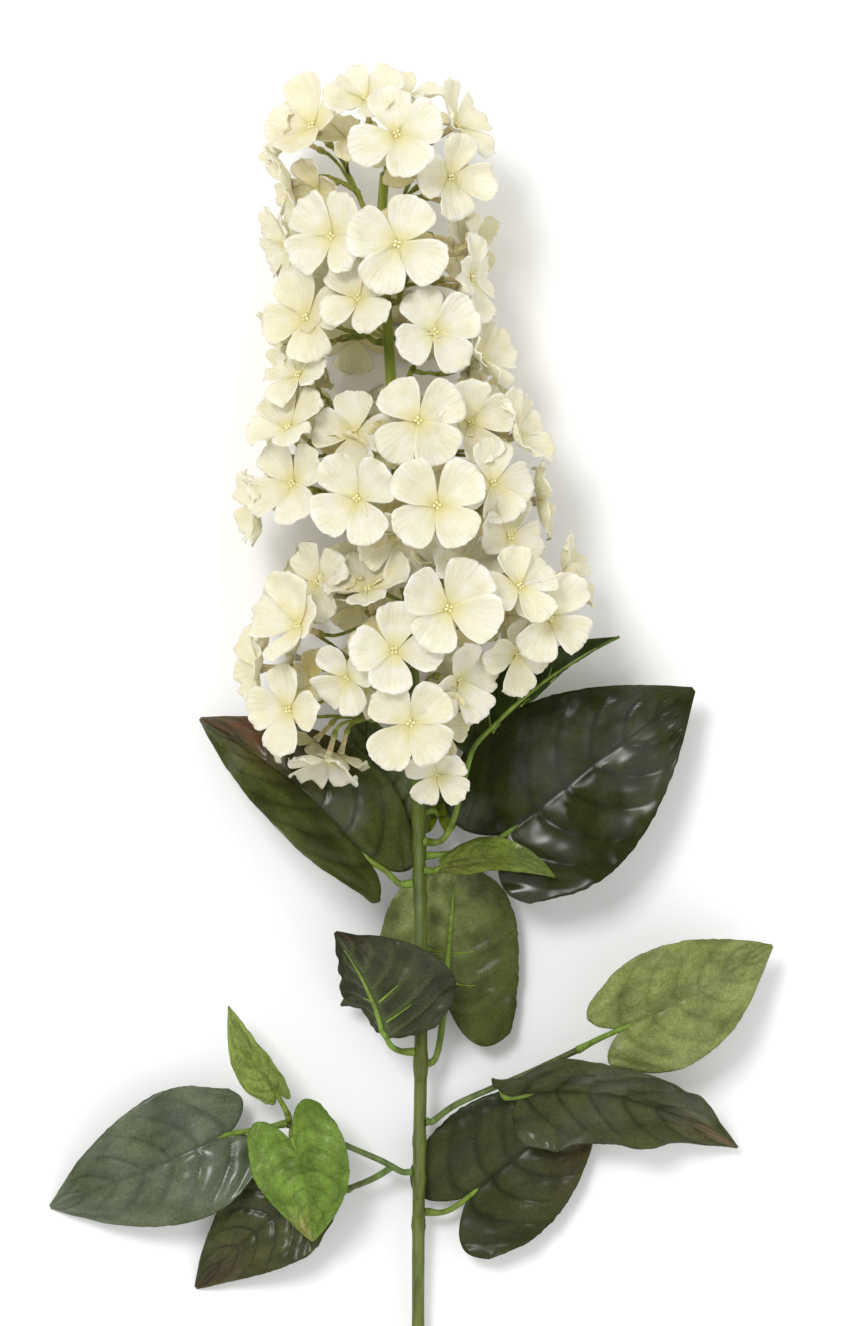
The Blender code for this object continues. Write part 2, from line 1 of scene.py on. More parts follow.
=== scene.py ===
# Looks of the lilac stem: a cut branch with a cream flower head, lying on a pale floor and seen from above.
# Tables are in millimetres in the frame's own axes: +Y along the stem to the head, +Z up from the floor.
import math
from functools import lru_cache

import bmesh
import bpy
import numpy as np
from mathutils import Matrix, Vector, noise


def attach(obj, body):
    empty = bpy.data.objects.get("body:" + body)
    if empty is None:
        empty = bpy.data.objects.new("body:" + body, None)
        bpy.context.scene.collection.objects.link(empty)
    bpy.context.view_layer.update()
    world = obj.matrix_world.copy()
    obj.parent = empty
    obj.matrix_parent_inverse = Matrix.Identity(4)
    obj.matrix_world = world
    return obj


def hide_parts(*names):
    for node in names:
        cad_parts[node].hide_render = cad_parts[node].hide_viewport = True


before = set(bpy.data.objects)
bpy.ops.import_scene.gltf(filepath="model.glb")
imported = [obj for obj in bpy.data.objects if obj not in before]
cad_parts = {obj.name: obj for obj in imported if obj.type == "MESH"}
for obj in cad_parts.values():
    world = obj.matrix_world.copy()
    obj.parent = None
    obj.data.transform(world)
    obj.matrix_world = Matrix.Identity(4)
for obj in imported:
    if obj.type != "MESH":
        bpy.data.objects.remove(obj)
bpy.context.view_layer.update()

mm = 0.001


# Small maths shared by all the pieces.

def unit(vector):
    vector = np.asarray(vector, float)
    return vector / np.linalg.norm(vector)


def cross(a, b):  # much faster than numpy's own on single vectors
    return np.array([a[1] * b[2] - a[2] * b[1], a[2] * b[0] - a[0] * b[2], a[0] * b[1] - a[1] * b[0]])


def looking(yaw, lift):  # yaw turns the face sideways from +Z, lift tips it towards the head
    side, up = math.radians(yaw), math.radians(lift)
    return np.array([math.sin(side) * math.cos(up), math.sin(up), math.cos(side) * math.cos(up)])


def smoothLine(points, steps):
    pts = np.array(points, float)
    ends = np.vstack([2 * pts[0] - pts[1], pts, 2 * pts[-1] - pts[-2]])
    line = []
    for i in range(1, len(ends) - 2):
        p0, p1, p2, p3 = ends[i - 1 : i + 3]
        for t in np.arange(steps) / steps:
            line.append(0.5 * (2 * p1 + (p2 - p0) * t + (2 * p0 - 5 * p1 + 4 * p2 - p3) * t**2
                               + (3 * p1 - p0 - 3 * p2 + p3) * t**3))
    line.append(pts[-1])
    return np.array(line)


def arc(start, control, end, steps):
    t = np.linspace(0, 1, steps)[:, None]
    return (1 - t) ** 2 * start + 2 * t * (1 - t) * control + t**2 * end


@lru_cache(maxsize=None)
def smoothTable(table, value):  # a soft curve through the rows of a two-column table
    xs, ys = zip(*table)
    i = min(max(np.searchsorted(xs, value) - 1, 0), len(xs) - 2)
    f = (value - xs[i]) / (xs[i + 1] - xs[i])
    before, after = ys[max(i - 1, 0)], ys[min(i + 2, len(ys) - 1)]
    m0 = (ys[i + 1] - before) / (xs[i + 1] - xs[max(i - 1, 0)]) * (xs[i + 1] - xs[i])
    m1 = (after - ys[i]) / (xs[min(i + 2, len(xs) - 1)] - xs[i]) * (xs[i + 1] - xs[i])
    return ((2 * f**3 - 3 * f**2 + 1) * ys[i] + (f**3 - 2 * f**2 + f) * m0
            + (3 * f**2 - 2 * f**3) * ys[i + 1] + (f**3 - f**2) * m1)


def linear(colour):  # 0-255 screen colour to a shader colour
    return np.array([((c / 255 + 0.055) / 1.055) ** 2.4 if c > 10 else c / 255 / 12.92 for c in colour])


def wobble(x, y, z):
    return noise.noise(Vector((x, y, z)))


# Eases whatever comes near the floor, so that it lies on it and doesn't sink in.
def keepAbove(verts, margin):
    for vertex in verts:
        if vertex.co.z < margin:
            vertex.co.z = margin * math.exp(vertex.co.z / margin - 1)


# Shader building: a socket that does maths, and one method that makes any node.

class Link:
    def __init__(self, maker, socket):
        self.maker, self.socket = maker, socket

    def maths(self, operation, a, b):
        return self.maker.node("ShaderNodeMath", {"operation": operation}, {0: a, 1: b})

    def __add__(self, other):
        return self.maths("ADD", self, other)

    def __sub__(self, other):
        return self.maths("SUBTRACT", self, other)

    def __mul__(self, other):
        return self.maths("MULTIPLY", self, other)

    def __truediv__(self, other):
        return self.maths("DIVIDE", self, other)


class Finish:
    def __init__(self, name, **settings):
        self.material = bpy.data.materials.new(name)
        self.material.use_nodes = True
        self.tree = self.material.node_tree
        self.surface = self.tree.nodes["Principled BSDF"]
        for socket, value in settings.items():
            self.surface.inputs[socket.replace("_", " ")].default_value = value

    def node(self, kind, settings=None, inputs=None, out=0):
        made = self.tree.nodes.new(kind)
        for key, value in (settings or {}).items():
            setattr(made, key, value)
        for key, value in (inputs or {}).items():
            if isinstance(value, Link):
                self.tree.links.new(value.socket, made.inputs[key])
            else:
                made.inputs[key].default_value = value
        return Link(self, made.outputs[out])

    def place(self):
        return self.node("ShaderNodeTexCoord", out="Object")

    def attribute(self, name, out):
        return self.node("ShaderNodeAttribute", {"attribute_name": name}, out=out)

    def tint(self):  # the colour that is painted on the mesh
        return self.attribute("tint", "Color")

    def sine(self, value):
        return self.node("ShaderNodeMath", {"operation": "SINE"}, {0: value})

    def grain(self, scale, detail=2.0, stretch=(1, 1, 1)):
        spread = self.node("ShaderNodeMapping", inputs={"Vector": self.place(), "Scale": stretch})
        return self.node("ShaderNodeTexNoise", inputs={"Vector": spread, "Scale": scale, "Detail": detail})

    def remap(self, value, low, high, toLow, toHigh):
        return self.node("ShaderNodeMapRange", inputs={0: value, 1: low, 2: high, 3: toLow, 4: toHigh})

    def blend(self, factor, a, b, kind="MIX"):
        made = self.tree.nodes.new("ShaderNodeMix")
        made.data_type, made.blend_type = "RGBA", kind
        for index, value in ((0, factor), (6, a), (7, b)):
            if isinstance(value, Link):
                self.tree.links.new(value.socket, made.inputs[index])
            else:
                made.inputs[index].default_value = value
        return Link(self, made.outputs[2])

    def shade(self, colour, share, shadow):
        return self.blend(share, colour, (*shadow, 1.0), "MULTIPLY")

    def split(self, vector):
        made = self.tree.nodes.new("ShaderNodeSeparateXYZ")
        self.tree.links.new(vector.socket, made.inputs[0])
        return [Link(self, made.outputs[k]) for k in range(3)]

    def bump(self, height, strength, distance):
        settings = {"Height": height, "Strength": strength, "Distance": distance}
        return self.node("ShaderNodeBump", inputs=settings)

    def feed(self, **sockets):
        for socket, value in sockets.items():
            self.tree.links.new(value.socket, self.surface.inputs[socket.replace("_", " ")])
        return self.material


# The finishes. A shade is what the painted colour is multiplied by.

petalCloth = {
    "glow": 0.35,  # share of the light that passes through
    "glowDepth": 0.0035,
    "glowColour": (1.0, 0.92, 0.62),
    "sheen": 0.15,
    "veins": 26.0,
    "veinShade": (0.80, 0.76, 0.50),
    "cloudShade": (0.86, 0.82, 0.58),
    "relief": 0.0007,
}


def petalFinish():
    look = petalCloth
    finish = Finish("petal", Subsurface_Weight=look["glow"], Subsurface_Radius=look["glowColour"],
                    Subsurface_Scale=look["glowDepth"], Specular_IOR_Level=0.25,
                    Sheen_Weight=look["sheen"], Sheen_Roughness=0.5)
    across, along, luck = finish.split(finish.attribute("petalPlace", "Vector"))
    fan = finish.sine(across * look["veins"] / (along + 0.35) + luck * 9.0)
    vein = finish.remap(fan, 0.2, 1.0, 0.0, 1.0) * along
    cloth = finish.grain(2600.0, 1.0)
    cloud = finish.grain(160.0, 3.0)
    colour = finish.shade(finish.tint(), finish.remap(cloud, 0.35, 0.7, 0.0, 0.6), look["cloudShade"])
    colour = finish.shade(colour, vein * 0.10, look["veinShade"])
    height = vein * 0.36 + cloth * 0.35 + cloud * 1.8
    return finish.feed(Base_Color=colour, Roughness=finish.remap(cloth, 0.3, 0.7, 0.52, 0.68),
                       Normal=finish.bump(height, 0.6, look["relief"]))


tubeCloth = {
    "glow": 0.2,
    "glowDepth": 0.002,
    "streakShade": (0.78, 0.70, 0.45),
    "relief": 0.0002,
}


def tubeFinish():
    look = tubeCloth
    finish = Finish("petal_tube", Subsurface_Weight=look["glow"], Subsurface_Scale=look["glowDepth"],
                    Specular_IOR_Level=0.3)
    streak = finish.grain(900.0)
    colour = finish.shade(finish.tint(), finish.remap(streak, 0.35, 0.7, 0.0, 1.0), look["streakShade"])
    return finish.feed(Base_Color=colour, Roughness=finish.remap(streak, 0.3, 0.7, 0.45, 0.65),
                       Normal=finish.bump(streak, 0.3, look["relief"]))


greenPlastic = {
    "shine": 0.4,
    "ridgeShade": (0.42, 0.45, 0.28),
    "patchShade": (0.85, 0.62, 0.42),
    "speckShade": (0.35, 0.30, 0.18),
    "relief": 0.0006,
}


def stemFinish():
    look = greenPlastic
    finish = Finish("green_stem", Specular_IOR_Level=look["shine"], Subsurface_Weight=0.08,
                    Subsurface_Scale=0.002)
    ridges = finish.grain(420.0, 3.0, (1.0, 0.10, 1.0))
    patches = finish.grain(70.0, 4.0, (1.0, 0.35, 1.0))
    specks = finish.grain(1500.0, 1.0)
    colour = finish.shade(finish.tint(), finish.remap(ridges, 0.42, 0.66, 0.0, 0.75), look["ridgeShade"])
    colour = finish.shade(colour, finish.remap(patches, 0.45, 0.72, 0.0, 0.65), look["patchShade"])
    colour = finish.shade(colour, finish.remap(specks, 0.62, 0.75, 0.0, 0.4), look["speckShade"])
    return finish.feed(Base_Color=colour, Roughness=finish.remap(patches, 0.3, 0.7, 0.38, 0.6),
                       Normal=finish.bump(ridges + specks * 0.3, 0.6, look["relief"]))


leafCloth = {
    "threads": 11000.0,
    "cells": 330.0,
    "patchShade": (0.62, 0.66, 0.50),
    "mottleShade": (0.62, 0.66, 0.60),
    "speckShade": (0.50, 0.62, 0.40),
    "weaveShade": (0.62, 0.72, 0.50),
    # painted shade in the creases along the veins on the top
    "veinShade": (0.30, 0.33, 0.24),
    "veinUnder": (0.26, 0.36, 0.11, 1.0),
    "cellShade": (0.55, 0.6, 0.5),
    "relief": 0.0006,
}


def leafFinish(name, under):
    look = leafCloth
    finish = Finish(name, Specular_IOR_Level=0.12, Coat_Roughness=0.24, Coat_IOR=1.5)
    _, _, vein = finish.split(finish.attribute("leafPlace", "Vector"))
    gloss = finish.attribute("tint", "Alpha")
    east, north, _ = finish.split(finish.place())
    weave = finish.sine(east * look["threads"]) * finish.sine(north * look["threads"])
    cells = finish.node("ShaderNodeTexVoronoi", {"feature": "DISTANCE_TO_EDGE"},
                        {"Vector": finish.place(), "Scale": look["cells"]})
    cellLine = finish.remap(cells, 0.0, 0.12, 1.0, 0.0)
    patches = finish.grain(60.0, 4.0)
    mottle = finish.grain(700.0, 3.0)
    specks = finish.grain(1500.0)
    colour = finish.shade(finish.tint(), finish.remap(patches, 0.3, 0.7, 0.0, 0.8), look["patchShade"])
    colour = finish.shade(colour, finish.remap(mottle, 0.3, 0.75, 0.0, 0.6), look["mottleShade"])
    colour = finish.shade(colour, finish.remap(specks, 0.42, 0.62, 0.0, 0.5), look["speckShade"])
    colour = finish.shade(colour, finish.remap(weave, -1.0, 1.0, 0.0, 0.4), look["weaveShade"])
    if under:
        colour = finish.blend(vein * 0.22, colour, look["veinUnder"])
    else:
        # painted shade in the creases along the veins
        colour = finish.shade(colour, vein * 0.9, look["veinShade"])
    colour = finish.shade(colour, cellLine * 0.18, look["cellShade"])
    rough = finish.remap(patches, 0.3, 0.7, 0.64, 0.52) + cellLine * 0.06
    shine = gloss * finish.remap(finish.grain(42.0, 3.0), 0.42, 0.60, 0.0, 1.0)
    height = weave * 0.12 + mottle * 0.7 + patches * 1.5 - cellLine * (-0.15 if under else 0.25)
    return finish.feed(Base_Color=colour, Roughness=rough, Coat_Weight=shine,
                       Normal=finish.bump(height, 0.8, look["relief"]))


def floorFinish():
    finish = Finish("pale_floor", Specular_IOR_Level=0.1)
    haze = finish.grain(3.0, 2.0)
    colour = finish.blend(haze, (0.95, 0.95, 0.95, 1.0), (0.97, 0.97, 0.97, 1.0))
    return finish.feed(Base_Color=colour, Roughness=finish.remap(haze, 0.0, 1.0, 0.8, 0.9))


finishes = {
    "petal": petalFinish(),
    "tube": tubeFinish(),
    "green": stemFinish(),
    "leafTop": leafFinish("leaf_top", False),
    "leafUnder": leafFinish("leaf_underside", True),
}
print("finishes made")


# Mesh helpers. Every mesh is made in millimetres and scaled once, when it becomes a piece.

def newMesh():
    mesh = bmesh.new()
    mesh.verts.layers.float_color.new("tint")
    mesh.verts.layers.float_vector.new("petalPlace")
    mesh.verts.layers.float_vector.new("leafPlace")
    mesh.verts.layers.int.new("twin")
    return mesh


def paint(mesh, verts, colour):
    layer = mesh.verts.layers.float_color["tint"]
    for vertex in verts:
        vertex[layer] = (*colour, 0.0)


def ringFrames(path):  # a turned frame at each point of a path, without twist
    tangents = np.gradient(path, axis=0)
    tangents /= np.linalg.norm(tangents, axis=1)[:, None]
    side, frames = unit(cross(tangents[0], [0.31, 0.27, 0.91])), []
    for tangent in tangents:
        side = unit(side - tangent * (side @ tangent))
        frames.append((side, cross(tangent, side), tangent))
    return frames


# A closed tapered rod: a circle that is extruded from point to point of the path.
def sweep(mesh, path, radii, sides, slot, colours):
    rod = newMesh()
    path = np.asarray(path, float)
    frames = ringFrames(path)

    def stand(k):
        columns = [axis * radii[k] for axis in frames[k]] + [path[k]]
        return Matrix([[column[i] for column in columns] for i in range(3)] + [[0, 0, 0, 1]])

    colours = np.atleast_2d(np.asarray(colours, float))
    stops = np.linspace(0, len(path) - 1, len(colours))
    cap = bmesh.ops.create_circle(rod, cap_ends=True, segments=sides, radius=1.0, matrix=stand(0))["verts"]
    face = cap[0].link_faces[0]
    for k in range(len(path)):
        if k > 0:
            ring = bmesh.ops.extrude_face_region(rod, geom=[face])["geom"]
            cap = [item for item in ring if isinstance(item, bmesh.types.BMVert)]
            face = next(item for item in ring if isinstance(item, bmesh.types.BMFace))
            bmesh.ops.transform(rod, matrix=stand(k) @ stand(k - 1).inverted(), verts=cap)
        paint(rod, cap, [np.interp(k, stops, colours[:, c]) for c in range(3)])
    for face in rod.faces:
        face.material_index = slot
    bmesh.ops.recalc_face_normals(rod, faces=rod.faces[:])
    absorb(mesh, rod)


# Adds a small mesh to a larger one.
def absorb(mesh, small):
    data = bpy.data.meshes.new("small")
    small.to_mesh(data)
    small.free()
    mesh.from_mesh(data)
    bpy.data.meshes.remove(data)


# Gives a sheet its second face, straight along the normals, so that no narrow place grows a spike.
def thicken(mesh, thickness):
    twin = mesh.verts.layers.int["twin"]
    mesh.normal_update()
    upper, lower = set(mesh.verts), []
    for number, vertex in enumerate(mesh.verts):
        vertex[twin] = number
        lower.append(vertex.co - vertex.normal * thickness)
    bmesh.ops.solidify(mesh, geom=mesh.faces[:], thickness=thickness)
    for vertex in mesh.verts:
        if vertex not in upper:
            vertex.co = lower[vertex[twin]]
    return upper


def bead(mesh, place, radius, slot, colour):
    ball = bmesh.ops.create_icosphere(mesh, subdivisions=1, radius=radius, matrix=Matrix.Translation(place))
    made = ball["verts"]
    paint(mesh, made, colour)
    for face in {face for vertex in made for face in vertex.link_faces}:
        face.material_index = slot


def piece(name, mesh, materials, nodes):
    for face in mesh.faces:
        face.smooth = True
    mesh.verts.layers.int.remove(mesh.verts.layers.int["twin"])
    bmesh.ops.scale(mesh, vec=(mm, mm, mm), verts=mesh.verts)
    data = bpy.data.meshes.new(name)
    mesh.to_mesh(data)
    mesh.free()
    for material in materials:
        data.materials.append(material)
    made = bpy.data.objects.new(name, data)
    bpy.context.scene.collection.objects.link(made)
    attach(made, "root")
    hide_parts(*nodes)


# The stem: a moulded rod with swellings where shoots and leaf stalks leave it.

stemLook = {
    "line": [
        (3.4, -262.0, 2.35), (3.3, -190.0, 8.0), (3.6, -140.0, 13.0), (4.2, -100.0, 18.0), (4.2, -60.0, 23.0),
        (3.6, -20.0, 28.0), (2.8, 15.0, 33.0), (-0.5, 75.0, 40.0), (-5.0, 125.0, 43.0), (-7.0, 160.0, 43.0),
        (-9.5, 205.0, 42.0), (-8.5, 226.0, 42.0),
    ],
    "radius": 2.3,
    "topRadius": 1.7,
    "sides": 20,
    "ringEvery": 2.2,
    "joints": [-158, -127, -141, -100, -96, -37, -29, -18, -8],
    "jointRise": 0.45,
    "jointWidth": 2.2,
    "uneven": 0.10,
    "ridges": 5,  # lengthways
    "ridgeDepth": 0.06,
    "cutSlant": 1.8,
    "floorEase": 0.3,
    "colours": [(108, 124, 48), (98, 112, 38), (84, 100, 22), (132, 150, 48), (146, 164, 62)],
    "seatGap": 0.3,  # between the stem and what it carries
}
stemCurve = smoothLine(stemLook["line"], 2)


def stemAt(y):
    return np.array([np.interp(y, stemCurve[:, 1], stemCurve[:, axis]) for axis in range(3)])


# Where something that comes from a point is seated on a rod, and the direction out of the rod there.
def seatOn(line, radius, towards):
    line = np.asarray(line, float)
    fine = np.vstack([np.linspace(a, b, 12, endpoint=False) for a, b in zip(line, line[1:])] + [line[-1:]])
    towards = np.asarray(towards, float)
    nearest = np.linalg.norm(fine - towards, axis=1).argmin()
    before, after = fine[max(nearest - 1, 0)], fine[min(nearest + 1, len(fine) - 1)]
    ahead = unit(after - before)
    out = unit(towards - fine[nearest])
    if nearest == len(fine) - 1 and out @ ahead > 0.6:
        return fine[-1] + ahead * stemLook["seatGap"], ahead
    out = unit(out - ahead * (out @ ahead))
    return fine[nearest] + out * (radius + stemLook["seatGap"]), out


def makeStem():
    look = stemLook
    mesh = newMesh()
    ys = np.arange(look["line"][0][1], look["line"][-1][1], look["ringEvery"])
    fine = smoothLine(look["line"], 8)
    path = np.array([[np.interp(y, fine[:, 1], fine[:, axis]) for axis in range(3)] for y in ys])
    path = np.vstack([path, path[-1] + (0, 0.8, 0), path[-1] + (0, 1.2, 0)])
    radii = []
    for y in path[:, 1]:
        radius = np.interp(y, [20, 226], [look["radius"], look["topRadius"]])
        radius += sum(look["jointRise"] * math.exp(-(((y - joint) / look["jointWidth"]) ** 2))
                      for joint in look["joints"])
        radii.append(radius + look["uneven"] * wobble(y * 0.11, 3.1, 0.2))
    radii[0] = look["radius"] * 0.97
    radii[-2:] = [look["topRadius"] * 0.8, look["topRadius"] * 0.3]
    sweep(mesh, path, radii, look["sides"], 0, [linear(colour) for colour in look["colours"]])
    low = look["line"][0][1]
    for vertex in mesh.verts:  # slanting cut, then shallow lengthways ridges
        if vertex.co.y < low + 0.6:
            vertex.co.y += (vertex.co.z / look["radius"] - 1) * look["cutSlant"]
        out = vertex.co - Vector(stemAt(vertex.co.y))
        turn = math.atan2(out.x, out.z)
        vertex.co += out * (look["ridgeDepth"] * math.sin(turn * look["ridges"] + vertex.co.y * 0.012))
    keepAbove(mesh.verts, look["floorEase"])
    piece("stem_skin", mesh, [finishes["green"]], ["stem"])


# Side shoots: thinner rods with a collar at the stem and knobs where they fork.

shootLook = {
    "lines": {
        "shoot_left": [
            [(-3, -138, 14), (-10, -134, 15.5), (-22, -128.5, 17.5), (-34, -123, 19), (-44.5, -120.4, 18.0)],
            [(-6, -136.2, 14.5), (-13, -140.5, 14), (-21.6, -144.2, 13.4)],
        ],
        "shoot_right": [
            [(9, -119, 16.5), (17, -113, 18.5), (30, -106.8, 21), (44, -100.5, 24.5), (61, -92.2, 27)],
        ],
    },
    "radius": 1.25,
    "collar": (1.75, 1.6, 1.4),
    "knob": 1.12,
    "sides": 12,
    "colour": (104, 134, 62),
    "farColour": (96, 104, 58),
}


def makeShoots():
    look = shootLook
    for name, lines in look["lines"].items():
        mesh = newMesh()
        for number, line in enumerate(lines):
            if number == 0:
                seat, out = seatOn(stemCurve, stemLook["radius"], line[0])
                line = [seat, seat + out * 1.5, *line]
            path = smoothLine(line, 6)
            radii = look["radius"] * np.linspace(1.0, 0.88, len(path))
            radii = [r + 0.08 * wobble(k * 0.5, 1.7, number) for k, r in enumerate(radii)]
            if number == 0:
                radii[:3] = look["collar"]
            radii[-1] *= look["knob"]
            sweep(mesh, path, radii, look["sides"], 0, [linear(look["colour"]), linear(look["farColour"])])
        for knob in [line[-1] for line in lines]:
            bead(mesh, knob, look["radius"] * look["knob"], 0, linear(look["colour"]))
        piece(name + "_skin", mesh, [finishes["green"]], [name])


makeStem()
makeShoots()
print("stem and side shoots made")


# Leaves: heart-shaped cloth blades with creased veins, a raised rib below and a green stalk.
# Each blade bends from base over mid to tip. Its face looks in one direction at the base and another at the
# tip, fold raises its left and right halves by degrees, and blush is a second colour round a place on it;
# on the back leaf in the middle that patch is painted light.
# Gloss is how bright its shiny patches are and stubs its pairs of short ribs; the darkness of its veins is
# painted shade in their creases on the top and a darker green below.

leafPlans = {
    "leaf_upper_right": dict(
        on="stem", stalk=[(14, -21, 24), (26, -19, 22)], base=(35, -14, 22), mid=(68, 12, 24),
        tip=(104, 39, 20), face=[(-4, 4), (8, -6)], width=70, fold=(0, 9), lobe=0.14, foot=0.74,
        top=(53, 57, 24), under=(92, 100, 60), gloss=0.9, wave=1.2),
    "leaf_upper_folded": dict(
        on="stem", stalk=[(13, -16, 34), (18, -2, 40)], base=(22, 16, 45), mid=(47, 40, 46), tip=(76, 58, 36),
        face=[(201, 11), (201, 11)], width=35, fold=(62, 56), lobe=0.03,
        top=(66, 78, 38), under=(88, 104, 44), gloss=0.5, wave=0.6, stubs=3),
    "leaf_upper_left": dict(
        on="stem", stalk=[(-4, -32, 26.5), (-8, -27, 26)], base=(-14, -24, 26), mid=(-42, 5, 27),
        tip=(-77, 28, 8), face=[(18, 20), (12, 16)], width=50, fold=(26, 20), lobe=0.13,
        top=(80, 84, 46), under=(96, 102, 60), gloss=0.9, wave=1.0,
        blush=(104, 62, 44), blushAt=(0.86, 0.5, 0.30)),
    "leaf_behind_left": dict(
        on="stem", stalk=[(2.8, -15, 20)], base=(-5, -14, 18), mid=(-12, 8, 18), tip=(-19, 32, 15),
        face=[(0, 0), (-10, 0)], width=34, fold=(6, 6), lobe=0.12,
        top=(104, 110, 76), under=(110, 120, 85), gloss=0.8, wave=1.0),
    "leaf_behind_right": dict(
        on="stem", stalk=[(9.5, -5, 20)], base=(10.5, -8, 14), mid=(10, 8, 14), tip=(8, 28, 15),
        face=[(8, 0), (8, 0)], width=20, fold=(4, 4), lobe=0.16,
        top=(128, 138, 30), under=(120, 130, 50), gloss=0.2, wave=1.0),
    "leaf_small_right": dict(
        on="stem", stalk=[(9, -27, 30)], base=(13, -25, 31), mid=(33, -21, 36), tip=(53, -29, 33),
        face=[(10, 50), (-10, 20)], width=16, fold=(8, 8), lobe=0.05,
        veinShadeAndColour=0.5, top=(108, 118, 56), under=(90, 100, 50), gloss=0.4, wave=0.8,
        blush=(126, 124, 74), blushAt=(0.15, 0.4, 0.25)),
    "leaf_centre_back": dict(
        on="stem", stalk=[(10, -97, 13), (12, -86, 11)], base=(13, -74, 10), mid=(15, -51, 9),
        tip=(17, -25, 16),
        face=[(182, 0), (182, -12)], width=53, fold=(0, 0), lobe=0.34, rib=1.45,
        profile=((0.0, 0.96), (0.1, 1.0), (0.3, 1.0), (0.5, 0.96), (0.7, 0.86),
                  (0.85, 0.66), (0.95, 0.38), (1.0, 0.1)),
        top=(62, 68, 40), under=(82, 86, 46), gloss=0.35, wave=1.2, stubs=2,
        # painted light: this pale patch is paler than the cloth so that it stays light in the shadow of the
        # head and leaves above
        blushUnder=(186, 190, 132), blushUnderAt=(0.8, 0.8, 0.5)),
    "leaf_front_curled": dict(
        on="stem", stalk=[(-4, -93, 22), (-7, -90, 29)], base=(-8, -87, 34), mid=(-14, -69, 37),
        tip=(-27, -49, 33),
        face=[(188, -6), (186, -16)], width=60, fold=(4, 80), lobe=0.04,
        top=(70, 74, 48), under=(70, 71, 54), gloss=0.45, wave=2.2, stubs=2,
        blushUnder=(70, 46, 46), blushUnderAt=(0.98, -0.5, 0.16)),
    "leaf_right_far": dict(
        on="shoot_right", stalk=[(69, -88, 27)], base=(78, -84, 27), mid=(106, -70, 27), tip=(133, -55, 17),
        face=[(-8, -12), (4, -8)], width=46, fold=(7, 7), lobe=0.16,
        veinShadeAndColour=0.5, top=(144, 148, 96), under=(120, 130, 82), gloss=0.3, wave=1.0),
    "leaf_right_long": dict(
        on="shoot_right", stalk=[(35, -110, 22.6)], base=(40, -109.5, 24), mid=(78, -110, 26),
        tip=(121, -130, 7),
        face=[(2, -46), (4, -36)], width=43, fold=(6, 30), lobe=0.06, foot=0.8,
        top=(80, 82, 56), under=(100, 104, 70), gloss=0.6, wave=3.4,
        blush=(150, 122, 106), blushAt=(0.97, 0.0, 0.16)),
    "leaf_right_low": dict(
        on="stem", stalk=[(14, -154, 9)], base=(22, -148, 8), mid=(46, -128, 8), tip=(72, -108, 6),
        face=[(0, 4), (4, 0)], width=54, fold=(3, 3), lobe=0.22, foot=0.82,
        top=(68, 71, 46), under=(92, 98, 62), gloss=0.28, wave=1.4,
        blush=(84, 68, 44), blushAt=(0.8, 0.7, 0.3)),
    "leaf_left_far": dict(
        on="shoot_left", stalk=[(-54, -122.4, 16)], base=(-66, -124, 14), mid=(-98, -138, 15),
        tip=(-133, -153, 0.9), face=[(0, 2), (4, 2)], width=49, fold=(6, 6), lobe=0.12,
        veinShadeAndColour=0.75, top=(102, 108, 90), under=(104, 112, 92), gloss=0.8, wave=1.1),
    "leaf_bright": dict(
        on="shoot_left", stalk=[(-42.8, -124, 23.5)], base=(-42, -126, 27), mid=(-37, -142, 29.5),
        tip=(-35, -162, 24), face=[(-6, 2), (6, -10)], width=36, fold=(6, 6), lobe=0.34, foot=0.85,
        veinShadeAndColour=0.5, top=(118, 142, 66), under=(110, 136, 64), gloss=0.22, wave=1.2,
        blush=(178, 160, 110), blushAt=(0.97, 0.5, 0.2)),
    "leaf_small_upright": dict(
        on="shoot_left", stalk=[(-46.5, -112, 20)], base=(-49.5, -107, 21), mid=(-58, -94, 24),
        tip=(-66, -77, 19),
        face=[(-34, 10), (-44, 8)], width=18, fold=(16, 16), lobe=0.16,
        veinShadeAndColour=0.5, top=(138, 150, 82), under=(116, 136, 62), gloss=0.15, wave=0.8),
    "leaf_left_low": dict(
        on="shoot_left", stalk=[(-30, -147, 12)], base=(-37, -148, 11), mid=(-57, -161, 10),
        tip=(-79, -183, 0.9),
        face=[(-6, 8), (-14, 6)], width=38, fold=(7, 7), lobe=0.12,
        top=(82, 82, 54), under=(98, 96, 68), gloss=0.4, wave=1.2,
        blush=(78, 52, 38), blushAt=(0.97, -0.4, 0.25)),
}
leafLook = {
    "profile": ((0.0, 0.62), (0.08, 0.78), (0.17, 0.93), (0.30, 1.0),
                (0.50, 0.88), (0.70, 0.62), (0.86, 0.33), (1.0, 0.03)),
    "rows": 72,
    "columns": 44,
    "thickness": 0.4,
    "wave": 0.018,
    "sideVeins": 6,  # pairs
    "veinWidth": 0.012,
    "midribWidth": 0.045,
    "creaseDepth": 0.6,
    "puff": 1.1,
    "edgeFray": 0.018,
    "haze": 0.009,  # what the shine of the cloth adds
    "lift": 1.25,
    "stalkRadius": 1.15,
    "stalkEase": 5,  # rounds of smoothing
    "stalkFoot": (1.6, 1.45),
    "ribRadius": 0.85,
    "ribTip": 0.3,
    "ribEnd": 0.86,
    "stubFrom": 0.16,
    "stubStep": 0.20,
    "stubRadii": (0.55, 0.22),
    "stalkColour": (122, 150, 52),
    "floorEase": 1.2,
}


